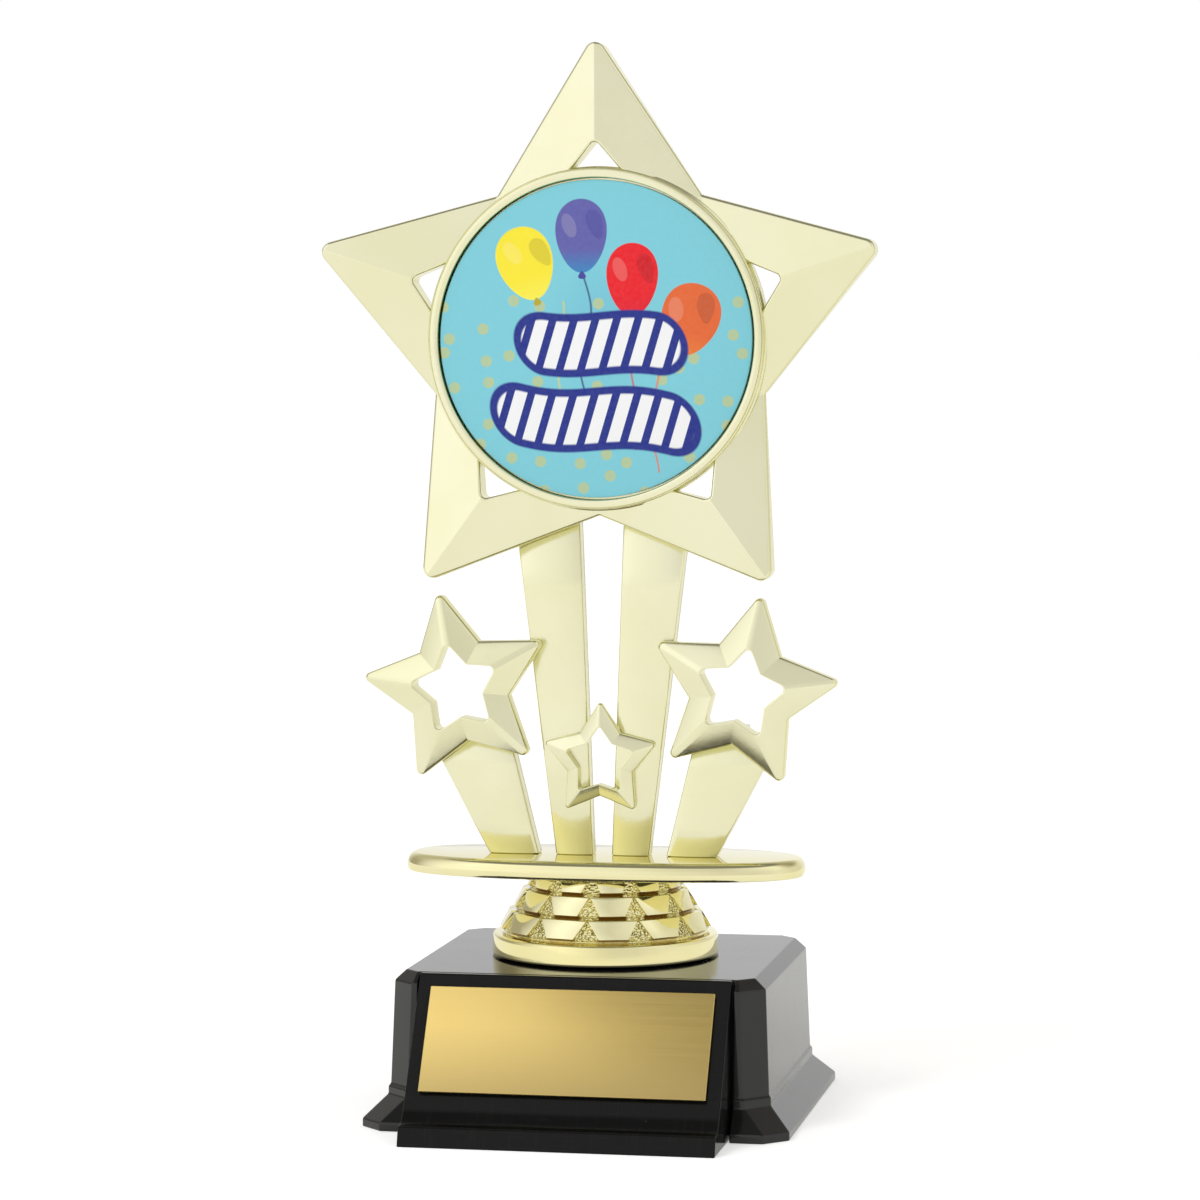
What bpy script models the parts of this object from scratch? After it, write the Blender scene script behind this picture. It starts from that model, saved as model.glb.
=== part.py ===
"""Star trophy: a plated figure of one large star, three small stars and four light rays on an oval plate,
held by a threaded rod on a faceted riser and a hollow eight-sided base with a sloped plaque panel.

Metres, +Z up. The origin is on the axis of the rod, at the underside. The front faces -Y.
"""

import math

import bmesh
import bpy
from mathutils import Matrix, Vector

MM = 0.001

# Fits
CLEARANCE = 0.3 * MM  # between pieces that touch, pegs and sockets
OVERLAP = 0.5 * MM  # how far joined shapes run into each other

# Base: each half size is measured from the rod's axis
BASE_HEIGHT = 24.1 * MM
BASE_TOP_HALF_WIDTH = 27.44 * MM
BASE_TOP_HALF_DEPTH = 24.2 * MM
BASE_TOP_CORNER = 2.35 * MM
BASE_CHAMFER_DROP = 1.64 * MM
BASE_CHAMFER_OUT = 1.76 * MM
BASE_CORNER = 3.6 * MM
BASE_DRAFT = 0.6 * MM
LEDGE_HEIGHT = 5.93 * MM
LEDGE_BAND = 1.25 * MM
LEDGE_OUT = 0.33 * MM
FOOT_EDGE = 1.32 * MM
FOOT_FLARE = 3.35 * MM
BASE_WALL = 2.2 * MM
BASE_FRONT_WALL = 2.0 * MM

# Front panel and its plaque
PANEL_HALF_WIDTH = 24.4 * MM
PANEL_TOP_LAND = 1.1 * MM
PANEL_LEAN = math.radians(32.1)
PANEL_COVE_HEIGHT = 4.65 * MM
PANEL_LIP_HEIGHT = 3.1 * MM
PANEL_LIP_FRONT = 42.0 * MM
PANEL_LIP_DRAFT = 0.8 * MM
PANEL_WALL = 1.8 * MM
PANEL_STUD_RADIUS = 1.6 * MM
PANEL_STUD_OFFSET = 15.0 * MM
PANEL_STUD_HEIGHT = 13.0 * MM
PLAQUE_WIDTH = 44.4 * MM
PLAQUE_HEIGHT = 17.4 * MM
PLAQUE_THICKNESS = 0.5 * MM
PLAQUE_DROP = 2.5 * MM  # from the panel's top edge, along its slope
TAPE_THICKNESS = 0.25 * MM
TAPE_MARGIN = 2.0 * MM
TAPE_GAP = 0.1 * MM

# Fasteners
ROD_RADIUS = 2.5 * MM
ROD_PROUD = 3.0 * MM  # what shows of the rod under its nut
NUT_ACROSS_FLATS = 8.0 * MM
NUT_HEIGHT = 4.0 * MM
WASHER_RADIUS = 6.0 * MM
WASHER_THICKNESS = 1.0 * MM
BALLAST_WIDTH = 42.0 * MM
BALLAST_DEPTH = 34.0 * MM
BALLAST_THICKNESS = 6.0 * MM
PAD_THICKNESS = 1.5 * MM

# Riser
RISER_HEIGHT = 12.4 * MM
RISER_FOOT_RADIUS = 18.1 * MM
RISER_BAND_HEIGHT = 2.7 * MM
RISER_SHOULDER_RADIUS = 17.4 * MM
RISER_SHOULDER_HEIGHT = 3.5 * MM
RISER_TOP_RADIUS = 11.6 * MM
RISER_WALL = 2.0 * MM
RISER_ROWS = 3
RISER_STEP = 0.45 * MM

# Oval plate
PLATE_HALF_LENGTH = 32.1 * MM
PLATE_HALF_DEPTH = 12.5 * MM
PLATE_THICKNESS = 3.0 * MM
PLATE_NOSE = 1.5 * MM
PLATE_SQUARENESS = 2.5
BOSS_RADIUS = 6.5 * MM
BOSS_WALL_OVER_NUT = 0.3 * MM

# Rays: the two tall bars and the two short tails. Heights are above the oval plate
RAY_FRONT = 3.0 * MM
RAY_THICKNESS = 3.4 * MM
RAY_FOOT_INNER = 1.55 * MM
RAY_FOOT_OUTER = 7.5 * MM
RAY_TOP_INNER = 3.67 * MM
RAY_TOP_OUTER = 14.4 * MM
RAY_TOP_BELOW_STAR = 25.0 * MM
TAIL_FOOT_INNER = 10.35 * MM
TAIL_FOOT_OUTER = 18.35 * MM
TAIL_TOP_INNER_REACH = 7.8 * MM
TAIL_TOP_OUTER_REACH = 5.6 * MM
TAIL_TOP_BELOW_STAR = 7.4 * MM
TENON_DEPTH = 1.5 * MM
TENON_SHOULDER = 0.9 * MM

# Large star and the holder for its printed insert
STAR_OVER_SIDE_STARS = 1.213 * MM  # from the side stars' top tips to the large star's lower tips
STAR_TIP = 47.6 * MM
STAR_NOTCH = 27.8 * MM
STAR_TIP_ROUNDING = 1.7 * MM
STAR_RIDGE = 5.1 * MM
STAR_EAVES_DROP = 3.6 * MM
STAR_WINDOW_APEX = 31.9 * MM
STAR_WINDOW_ROUNDING = 0.9 * MM
INSERT_RADIUS = 24.85 * MM
INSERT_THICKNESS = 1.0 * MM
RIM_WIDTH = 1.85 * MM
RIM_PROUD = 0.5 * MM  # of the insert's face
RIM_ROUNDING = 0.7 * MM
HOLDER_FLANGE = 1.0 * MM
HOLDER_FLANGE_FRONT = 3.0 * MM
HOLDER_BACK_STEP = 0.1 * MM  # keeps its back face off the star's
WINDOW_UNDERLAP = 2.0 * MM  # how far the windows' cutters run in under the rim
INSERT_TAPE_THICKNESS = 0.4 * MM
INSERT_TAPE_INSET = 2.0 * MM
HEAD_PEG_RADIUS = 1.5 * MM
HEAD_PEG_BELOW_CENTRE = 28.5 * MM
PEG_LENGTH = 1.8 * MM

# Small stars
SIDE_STAR_OFFSET = 22.8 * MM
SIDE_STAR_RISE = 26.5 * MM
SIDE_STAR_TILT = math.radians(11.5)
SIDE_STAR_TIP = 16.0 * MM
SIDE_STAR_NOTCH = 8.4 * MM
SIDE_STAR_WINDOW_TIP = 7.6 * MM
SIDE_STAR_WINDOW_NOTCH = 4.4 * MM
SIDE_STAR_ROUNDING = 0.8 * MM
SIDE_STAR_EDGE = 2.6 * MM
SIDE_STAR_RIM = 4.6 * MM
SIDE_PEG_RADIUS = 0.7 * MM
SIDE_PEG_REACH = 6.9 * MM
TAB_HALF_WIDTH = 1.9 * MM
TAB_EDGE = 1.0 * MM
CENTRE_STAR_RISE = 15.2 * MM
CENTRE_STAR_TIP = 9.6 * MM
CENTRE_STAR_NOTCH = 5.5 * MM
CENTRE_STAR_WINDOW_TIP = 5.7 * MM
CENTRE_STAR_WINDOW_NOTCH = 3.5 * MM
CENTRE_STAR_ROUNDING = 0.45 * MM
CENTRE_STAR_EDGE = 1.4 * MM
CENTRE_STAR_RIM = 2.5 * MM
CENTRE_PEG_REACH = 7.1 * MM

# Smoothness
TURN_STEPS = 64
SMALL_STEPS = 24
OVAL_STEPS = 64
ARC_POINTS = 5
PEG_STEPS = 12

# Levels that follow from the sizes
PLATE_LOW = BASE_HEIGHT + CLEARANCE + RISER_HEIGHT + CLEARANCE
PLATE_TOP = PLATE_LOW + PLATE_THICKNESS
SIDE_STAR_Z = PLATE_TOP + SIDE_STAR_RISE
CENTRE_STAR_Z = PLATE_TOP + CENTRE_STAR_RISE
SIDE_STAR_TOP = SIDE_STAR_Z + SIDE_STAR_TIP * math.cos(SIDE_STAR_TILT)
STAR_Z = SIDE_STAR_TOP + STAR_OVER_SIDE_STARS + STAR_TIP * math.cos(math.pi / 5)
FIGURE_BACK = RAY_FRONT + CLEARANCE  # back face of every star, measured forwards
BOLT_HOLE = ROD_RADIUS + CLEARANCE
SOCKET_DEPTH = PEG_LENGTH + CLEARANCE
CUT_THROUGH = 60 * MM
PARTS = None
CUTTERS = None


def clear_scene():
    for old in list(bpy.data.objects):
        bpy.data.objects.remove(old, do_unlink=True)


def new_collection(name):
    made = bpy.data.collections.new(name)
    bpy.context.scene.collection.children.link(made)
    return made


def finish(name, colour, roughness, metallic):
    made = bpy.data.materials.new(name)
    made.use_nodes = True
    shader = made.node_tree.nodes["Principled BSDF"]
    shader.inputs["Base Color"].default_value = (*colour, 1.0)
    shader.inputs["Roughness"].default_value = roughness
    shader.inputs["Metallic"].default_value = metallic
    return made


def add_part(name, bm, material):
    """Turns a bmesh into a smooth-shaded part of the trophy."""
    bmesh.ops.recalc_face_normals(bm, faces=bm.faces)
    mesh = bpy.data.meshes.new(name)
    bm.to_mesh(mesh)
    bm.free()
    mesh.materials.append(material)
    mesh.shade_smooth()
    mesh.set_sharp_from_angle(angle=math.radians(30))
    part = bpy.data.objects.new(name, mesh)
    PARTS.objects.link(part)
    return part


def join_shape(part, bm, operation):
    """Cuts a bmesh from a part, or unites it with the part, through a hidden helper."""
    bmesh.ops.recalc_face_normals(bm, faces=bm.faces)
    number = len(part.modifiers) + 1
    mesh = bpy.data.meshes.new(f"{part.name}_helper_{number}")
    bm.to_mesh(mesh)
    bm.free()
    helper = bpy.data.objects.new(mesh.name, mesh)
    helper.hide_render = True
    helper.display_type = "WIRE"
    CUTTERS.objects.link(helper)
    modifier = part.modifiers.new(f"{operation.lower()}_{number}", "BOOLEAN")
    modifier.operation = operation
    modifier.object = helper


def cylinder(radius, low, high, steps=TURN_STEPS, top_radius=None):
    """An upright cylinder or cone on the Z axis between two heights."""
    bm = bmesh.new()
    bmesh.ops.create_cone(
        bm,
        cap_ends=True,
        segments=steps,
        radius1=radius,
        radius2=radius if top_radius is None else top_radius,
        depth=high - low,
        matrix=Matrix.Translation((0, 0, (low + high) / 2)),
    )
    return bm


def box(low, high):
    """A box between two corners."""
    low, high = Vector(low), Vector(high)
    bm = bmesh.new()
    size = Matrix.Diagonal((*(high - low), 1))
    bmesh.ops.create_cube(bm, size=1, matrix=Matrix.Translation((low + high) / 2) @ size)
    return bm


def placed_ring(bm, points):
    """A closed loop of edges through the points."""
    loop = bmesh.ops.create_circle(bm, cap_ends=False, segments=len(points), radius=1)["verts"]
    for vert, point in zip(loop, points):
        vert.co = point
    return list({edge for vert in loop for edge in vert.link_edges})


def loft(rings, closed=False):
    """A solid skin through rings of equal count. Closed runs the last ring back to the first."""
    bm = bmesh.new()
    loops = [placed_ring(bm, ring) for ring in rings]
    pairs = list(zip(loops, loops[1:]))
    if closed:
        pairs.append((loops[-1], loops[0]))
    for first, second in pairs:
        bmesh.ops.bridge_loops(bm, edges=first + second)
    if not closed:
        bmesh.ops.holes_fill(bm, edges=loops[0] + loops[-1])
    return bm


def turned(profile):
    """A solid turned about Z from a closed profile of (radius, height) pairs."""
    bm = bmesh.new()
    corners = [bm.verts.new((radius, 0, height)) for radius, height in profile]
    edges = [bm.edges.new(pair) for pair in zip(corners, corners[1:] + corners[:1])]
    bmesh.ops.spin(
        bm, geom=corners + edges, axis=(0, 0, 1), cent=(0, 0, 0),
        steps=TURN_STEPS, angle=math.tau, use_merge=True,
    )
    return bm


def hexagon(across_flats, low, high):
    """A hexagonal prism on the Z axis."""
    return cylinder(across_flats / 2 / math.cos(math.pi / 6), low, high, steps=6)


def to_front(bm, x=0.0, z=0.0, turn=0.0):
    """Stands a flat shape up: its Y becomes height and its Z runs forwards, towards -Y."""
    stand = Matrix.Translation((x, 0, z)) @ Matrix.Rotation(math.pi / 2, 4, "X")
    bmesh.ops.transform(bm, matrix=stand @ Matrix.Rotation(turn, 4, "Z"), verts=bm.verts)
    return bm


def octagon(half_width, front, back, corner, height):
    """The base's outline: a rectangle with its four corners cut off."""
    x, y = half_width, corner
    return [
        Vector(point)
        for point in (
            (x, back - y, height),
            (x - y, back, height),
            (y - x, back, height),
            (-x, back - y, height),
            (-x, front + y, height),
            (y - x, front, height),
            (x - y, front, height),
            (x, front + y, height),
        )
    ]


def grown_octagon(out, corner, height):
    """The base's outline, this far outside the edge of its top face."""
    half_width = BASE_TOP_HALF_WIDTH + out
    half_depth = BASE_TOP_HALF_DEPTH + out
    return octagon(half_width, -half_depth, half_depth, corner, height)


def star_outline(tip, notch, rounding, height=0.0):
    """Five-pointed star with round tips, the first pointing to +Y. Tip and notch are sharp-corner radii."""
    half_angle = math.atan2(notch * math.sin(math.pi / 5), tip - notch * math.cos(math.pi / 5))
    centre = tip - rounding / math.sin(half_angle)
    sweep = math.pi / 2 - half_angle
    points = []
    for arm in range(5):
        axis = math.pi / 2 + math.tau * arm / 5
        middle = Vector((math.cos(axis), math.sin(axis), 0)) * centre
        for step in range(ARC_POINTS):
            angle = axis + sweep * (2 * step / (ARC_POINTS - 1) - 1)
            points.append(middle + Vector((math.cos(angle), math.sin(angle), 0)) * rounding)
        corner = axis + math.pi / 5
        points.append(Vector((math.cos(corner), math.sin(corner), 0)) * notch)
    return [Vector((point.x, point.y, height)) for point in points]


def ray_edges(foot_inner, foot_outer, top_inner, top_outer, top, height):
    """Inner and outer edge of a bar at a height, by its straight sides."""
    share = (height - PLATE_TOP) / (top - PLATE_TOP)
    inner = foot_inner + (top_inner - foot_inner) * share
    outer = foot_outer + (top_outer - foot_outer) * share
    return inner, outer


def make_base_shell(black):
    low_out = BASE_CHAMFER_OUT + BASE_DRAFT
    band_out = low_out + LEDGE_OUT
    band_low = LEDGE_HEIGHT - LEDGE_BAND
    foot_out = band_out + FOOT_FLARE
    rings = [
        grown_octagon(foot_out, BASE_CORNER, 0),
        grown_octagon(foot_out, BASE_CORNER, FOOT_EDGE),
        grown_octagon(band_out, BASE_CORNER, band_low),
        grown_octagon(band_out, BASE_CORNER, LEDGE_HEIGHT),
        grown_octagon(low_out, BASE_CORNER, LEDGE_HEIGHT + CLEARANCE),
        grown_octagon(BASE_CHAMFER_OUT, BASE_CORNER, BASE_HEIGHT - BASE_CHAMFER_DROP),
        grown_octagon(0, BASE_TOP_CORNER, BASE_HEIGHT),
    ]
    shell = add_part("base_shell", loft(rings), black)
    side = BASE_TOP_HALF_WIDTH + BASE_CHAMFER_OUT - BASE_WALL
    rear = BASE_TOP_HALF_DEPTH + BASE_CHAMFER_OUT - BASE_WALL
    front = BASE_FRONT_WALL - BASE_TOP_HALF_DEPTH
    ceiling = BASE_HEIGHT - BASE_WALL
    cavity = [
        octagon(side + FOOT_FLARE, front, rear + FOOT_FLARE, BASE_CORNER, -CLEARANCE),
        octagon(side, front, rear, BASE_CORNER, LEDGE_HEIGHT - LEDGE_BAND),
        octagon(side, front, rear, BASE_CORNER, ceiling),
    ]
    join_shape(shell, loft(cavity), "DIFFERENCE")
    join_shape(shell, cylinder(BOLT_HOLE, 0, CUT_THROUGH, SMALL_STEPS), "DIFFERENCE")
    bay = PANEL_HALF_WIDTH + CLEARANCE
    join_shape(
        shell,
        box((-bay, -CUT_THROUGH, -CUT_THROUGH), (bay, -BASE_TOP_HALF_DEPTH, CUT_THROUGH)),
        "DIFFERENCE",
    )
    for side_sign in (-1, 1):
        hole = cylinder(PANEL_STUD_RADIUS + CLEARANCE, 0, CUT_THROUGH, PEG_STEPS)
        to_front(hole, side_sign * PANEL_STUD_OFFSET, PANEL_STUD_HEIGHT)
        join_shape(shell, hole, "DIFFERENCE")


def panel_surface(distance):
    """The point on the panel's sloped front, this far below its top edge."""
    top = Vector((0, -BASE_TOP_HALF_DEPTH - CLEARANCE - PANEL_TOP_LAND, BASE_HEIGHT))
    return top + Vector((0, -math.sin(PANEL_LEAN), -math.cos(PANEL_LEAN))) * distance


def panel_outline(x, inset):
    """The panel's side outline at one width. An inset moves its front and top in, for the hollow."""
    back = -BASE_TOP_HALF_DEPTH - CLEARANCE + (OVERLAP if inset else 0)
    low = -OVERLAP if inset else 0
    slope_end = panel_surface((BASE_HEIGHT - PANEL_COVE_HEIGHT) / math.cos(PANEL_LEAN))
    slope_inset = inset / math.cos(PANEL_LEAN)
    top_z = BASE_HEIGHT - inset
    top_y = panel_surface(0).y + slope_inset - inset * math.tan(PANEL_LEAN)
    return [
        Vector((x, back, low)),
        Vector((x, inset - PANEL_LIP_FRONT, low)),
        Vector((x, inset - PANEL_LIP_FRONT + PANEL_LIP_DRAFT, PANEL_LIP_HEIGHT - inset)),
        Vector((x, slope_end.y + slope_inset, slope_end.z - inset / 2)),
        Vector((x, min(top_y, back - OVERLAP), top_z)),
        Vector((x, back, top_z)),
    ]


def make_front_panel(black):
    half = PANEL_HALF_WIDTH
    panel = add_part("front_panel", loft([panel_outline(-half, 0), panel_outline(half, 0)]), black)
    inner = half - PANEL_WALL
    hollow = loft([panel_outline(-inner, PANEL_WALL), panel_outline(inner, PANEL_WALL)])
    join_shape(panel, hollow, "DIFFERENCE")
    tip = BASE_TOP_HALF_DEPTH - BASE_FRONT_WALL - PEG_LENGTH
    wall_front = -panel_surface((BASE_HEIGHT - PANEL_STUD_HEIGHT) / math.cos(PANEL_LEAN)).y
    root = wall_front - PANEL_STUD_RADIUS * math.tan(PANEL_LEAN) - CLEARANCE
    for side_sign in (-1, 1):
        stud = to_front(
            cylinder(PANEL_STUD_RADIUS, tip, root, PEG_STEPS),
            side_sign * PANEL_STUD_OFFSET,
            PANEL_STUD_HEIGHT,
        )
        join_shape(panel, stud, "UNION")


def make_sloped_sheet(name, material, inset, lift, thickness):
    """A thin sheet that lies over the panel's slope, with its back face lifted off it."""
    outward = Vector((0, -math.cos(PANEL_LEAN), math.sin(PANEL_LEAN)))
    middle = panel_surface(PLAQUE_DROP + PLAQUE_HEIGHT / 2) + outward * lift
    half_width = PLAQUE_WIDTH / 2 - inset
    half_height = PLAQUE_HEIGHT / 2 - inset
    sheet = box((-half_width, -half_height, 0), (half_width, half_height, thickness))
    turn = Matrix.Translation(middle) @ Matrix.Rotation(math.pi / 2 - PANEL_LEAN, 4, "X")
    bmesh.ops.transform(sheet, matrix=turn, verts=sheet.verts)
    return add_part(name, sheet, material)


def make_plaque(brass, tape):
    make_sloped_sheet("plaque_tape", tape, TAPE_MARGIN, TAPE_GAP, TAPE_THICKNESS)
    lift = TAPE_GAP + TAPE_THICKNESS + TAPE_GAP
    make_sloped_sheet("plaque", brass, 0, lift, PLAQUE_THICKNESS)


def make_ballast(steel):
    high = BASE_HEIGHT - BASE_WALL - CLEARANCE
    low = high - BALLAST_THICKNESS
    half_width, half_depth = BALLAST_WIDTH / 2, BALLAST_DEPTH / 2
    ballast = add_part(
        "ballast_weight", box((-half_width, -half_depth, low), (half_width, half_depth, high)), steel
    )
    join_shape(ballast, cylinder(BOLT_HOLE, 0, CUT_THROUGH, SMALL_STEPS), "DIFFERENCE")
    return low


def make_fasteners(steel, ballast_low):
    """The washer and nut under the ballast, the rod, and the nut held in the plate's boss."""
    high = ballast_low - CLEARANCE
    low = high - WASHER_THICKNESS
    washer = add_part("washer", cylinder(WASHER_RADIUS, low, high, SMALL_STEPS), steel)
    join_shape(washer, cylinder(BOLT_HOLE, 0, CUT_THROUGH, SMALL_STEPS), "DIFFERENCE")
    high = low - CLEARANCE
    nut = add_part("hex_nut", hexagon(NUT_ACROSS_FLATS, high - NUT_HEIGHT, high), steel)
    join_shape(nut, cylinder(BOLT_HOLE, 0, CUT_THROUGH, SMALL_STEPS), "DIFFERENCE")
    captive = add_part("captive_nut", hexagon(NUT_ACROSS_FLATS, PLATE_LOW - NUT_HEIGHT, PLATE_LOW), steel)
    join_shape(captive, cylinder(BOLT_HOLE, 0, CUT_THROUGH, SMALL_STEPS), "DIFFERENCE")
    foot = high - NUT_HEIGHT - ROD_PROUD
    add_part("threaded_rod", cylinder(ROD_RADIUS, foot, PLATE_LOW, SMALL_STEPS), steel)


def make_underside_pad(felt):
    side = BASE_TOP_HALF_WIDTH + BASE_CHAMFER_OUT - BASE_WALL - CLEARANCE
    rear = BASE_TOP_HALF_DEPTH + BASE_CHAMFER_OUT - BASE_WALL - CLEARANCE
    front = BASE_FRONT_WALL - BASE_TOP_HALF_DEPTH + CLEARANCE
    rings = [octagon(side, front, rear, BASE_CORNER, height) for height in (0, PAD_THICKNESS)]
    add_part("underside_pad", loft(rings), felt)


def make_riser(gold):
    """A hollow turned cone in rows, each set in from the row below by a small step."""
    low = BASE_HEIGHT + CLEARANCE
    high = low + RISER_HEIGHT
    shoulder = low + RISER_SHOULDER_HEIGHT
    row_height = (high - shoulder) / RISER_ROWS
    row_run = (RISER_SHOULDER_RADIUS - RISER_TOP_RADIUS - RISER_STEP * RISER_ROWS) / RISER_ROWS
    rows = []
    radius = RISER_SHOULDER_RADIUS
    for row in range(RISER_ROWS):
        radius -= RISER_STEP
        rows.append((radius, shoulder + row * row_height))
        radius -= row_run
        rows.append((radius, shoulder + (row + 1) * row_height))
    throat = BOSS_RADIUS + CLEARANCE
    profile = [*reversed(rows), (RISER_SHOULDER_RADIUS, shoulder)]
    profile += [(RISER_FOOT_RADIUS, low + RISER_BAND_HEIGHT), (RISER_FOOT_RADIUS, low)]
    profile += [(RISER_FOOT_RADIUS - RISER_WALL, low)]
    profile += [(RISER_SHOULDER_RADIUS - RISER_STEP - RISER_WALL, shoulder)]
    profile += [(RISER_TOP_RADIUS - RISER_WALL, high - RISER_WALL), (throat, high - RISER_WALL)]
    profile += [(throat, high)]
    add_part("riser", turned(profile), gold)


def oval(inset, height):
    """The plate's outline: an ellipse squared off towards a rectangle with round ends."""
    half_length, half_depth = PLATE_HALF_LENGTH - inset, PLATE_HALF_DEPTH - inset
    power = 2 / PLATE_SQUARENESS
    points = []
    for step in range(OVAL_STEPS):
        angle = math.tau * step / OVAL_STEPS
        x = math.copysign(abs(math.cos(angle)) ** power, math.cos(angle))
        y = math.copysign(abs(math.sin(angle)) ** power, math.sin(angle))
        points.append(Vector((half_length * x, half_depth * y, height)))
    return points


def tenon(foot_inner, foot_outer, side_sign, grow):
    """The tongue under a bar's foot, or the slot for it when it grows by the clearance."""
    inner = side_sign * (foot_inner + TENON_SHOULDER - grow)
    outer = side_sign * (foot_outer - TENON_SHOULDER + grow)
    front = -RAY_FRONT + TENON_SHOULDER - grow
    back = RAY_THICKNESS - RAY_FRONT - TENON_SHOULDER + grow
    low = PLATE_TOP - TENON_DEPTH - grow
    high = PLATE_TOP + CLEARANCE + OVERLAP
    return box((min(inner, outer), front, low), (max(inner, outer), back, high))


def make_oval_plate(gold):
    nose_rings = []
    for step in range(5):
        angle = math.pi / 2 * step / 4
        inset = PLATE_NOSE * (1 - math.cos(angle))
        height = PLATE_TOP - PLATE_THICKNESS * 0.75 * (1 - math.sin(angle))
        nose_rings.append(oval(inset, height))
    plate = add_part("oval_plate", loft([oval(0, PLATE_LOW), *nose_rings]), gold)
    boss_low = PLATE_LOW - NUT_HEIGHT - CLEARANCE
    join_shape(plate, cylinder(BOSS_RADIUS, boss_low, PLATE_LOW + OVERLAP, SMALL_STEPS), "UNION")
    pocket = hexagon(NUT_ACROSS_FLATS + 2 * CLEARANCE, 0, PLATE_LOW + BOSS_WALL_OVER_NUT)
    join_shape(plate, pocket, "DIFFERENCE")
    for side_sign in (-1, 1):
        slot = tenon(RAY_FOOT_INNER, RAY_FOOT_OUTER, side_sign, CLEARANCE)
        join_shape(plate, slot, "DIFFERENCE")
        slot = tenon(TAIL_FOOT_INNER, TAIL_FOOT_OUTER, side_sign, CLEARANCE)
        join_shape(plate, slot, "DIFFERENCE")


def bar(name, outline, side_sign, foot, gold):
    """An upright bar from its (distance out, height) outline on one side, with a tenon under its foot."""
    front = [Vector((side_sign * out, -RAY_FRONT, height)) for out, height in outline]
    back = [point + Vector((0, RAY_THICKNESS, 0)) for point in front]
    made = add_part(name, loft([front, back]), gold)
    join_shape(made, tenon(*foot, side_sign, 0), "UNION")
    return made


def socket(part, x, z, radius):
    """A blind hole in the front of a bar, for a star's peg."""
    hole = cylinder(radius + CLEARANCE, RAY_FRONT - SOCKET_DEPTH, RAY_FRONT + OVERLAP, PEG_STEPS)
    join_shape(part, to_front(hole, x, z), "DIFFERENCE")


def peg(part, x, z, radius):
    """A round peg on the back of a star."""
    tip = FIGURE_BACK - PEG_LENGTH
    stud = cylinder(radius, tip, FIGURE_BACK + OVERLAP, PEG_STEPS)
    join_shape(part, to_front(stud, x, z), "UNION")


def head_peg_x():
    """How far out the large star's pegs stand: on the middle of each tall ray."""
    inner, outer = ray_edges(
        RAY_FOOT_INNER, RAY_FOOT_OUTER, RAY_TOP_INNER, RAY_TOP_OUTER,
        STAR_Z - RAY_TOP_BELOW_STAR, STAR_Z - HEAD_PEG_BELOW_CENTRE,
    )
    return (inner + outer) / 2


def centre_peg():
    """Where the centre star's right peg stands, in its right-hand arm."""
    angle = math.pi / 2 - math.tau / 5
    return CENTRE_PEG_REACH * math.cos(angle), CENTRE_STAR_Z + CENTRE_PEG_REACH * math.sin(angle)


def side_peg():
    """Where the right-hand star's peg stands, below its window."""
    angle = -math.pi / 2 - SIDE_STAR_TILT
    x = SIDE_STAR_OFFSET + SIDE_PEG_REACH * math.cos(angle)
    return x, SIDE_STAR_Z + SIDE_PEG_REACH * math.sin(angle)


def make_rays(gold):
    top = STAR_Z - RAY_TOP_BELOW_STAR
    foot = PLATE_TOP + CLEARANCE
    peg_x, peg_z = centre_peg()
    outline = [
        (RAY_FOOT_INNER, foot),
        (RAY_FOOT_OUTER, foot),
        (RAY_TOP_OUTER, top),
        (RAY_TOP_INNER, top),
    ]
    for name, side_sign in (("left_ray", -1), ("right_ray", 1)):
        ray = bar(name, outline, side_sign, (RAY_FOOT_INNER, RAY_FOOT_OUTER), gold)
        socket(ray, side_sign * head_peg_x(), STAR_Z - HEAD_PEG_BELOW_CENTRE, HEAD_PEG_RADIUS)
        socket(ray, side_sign * peg_x, peg_z, SIDE_PEG_RADIUS)


def make_tails(gold):
    top = SIDE_STAR_Z - TAIL_TOP_BELOW_STAR
    foot = PLATE_TOP + CLEARANCE
    peg_x, peg_z = side_peg()
    tab_top = SIDE_STAR_Z - SIDE_STAR_WINDOW_NOTCH - TAB_EDGE
    outline = [
        (TAIL_FOOT_INNER, foot),
        (TAIL_FOOT_OUTER, foot),
        (SIDE_STAR_OFFSET + TAIL_TOP_OUTER_REACH, top),
        (peg_x + TAB_HALF_WIDTH, top),
        (peg_x + TAB_HALF_WIDTH, tab_top),
        (peg_x - TAB_HALF_WIDTH, tab_top),
        (peg_x - TAB_HALF_WIDTH, top),
        (SIDE_STAR_OFFSET - TAIL_TOP_INNER_REACH, top),
    ]
    for name, side_sign in (("left_tail", -1), ("right_tail", 1)):
        tail = bar(name, outline, side_sign, (TAIL_FOOT_INNER, TAIL_FOOT_OUTER), gold)
        socket(tail, side_sign * peg_x, peg_z, SIDE_PEG_RADIUS)


def small_star(name, tip, notch, window_tip, window_notch, rounding, edge, rim, place, gold):
    """A star frame: a wall round the outside, then facets that rise to the rim of a star window."""
    rings = [
        star_outline(tip, notch, rounding, FIGURE_BACK),
        star_outline(tip, notch, rounding, FIGURE_BACK + edge),
        star_outline(window_tip, window_notch, rounding, FIGURE_BACK + rim),
        star_outline(window_tip, window_notch, rounding, FIGURE_BACK),
    ]
    return add_part(name, to_front(loft(rings, closed=True), *place), gold)


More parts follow.
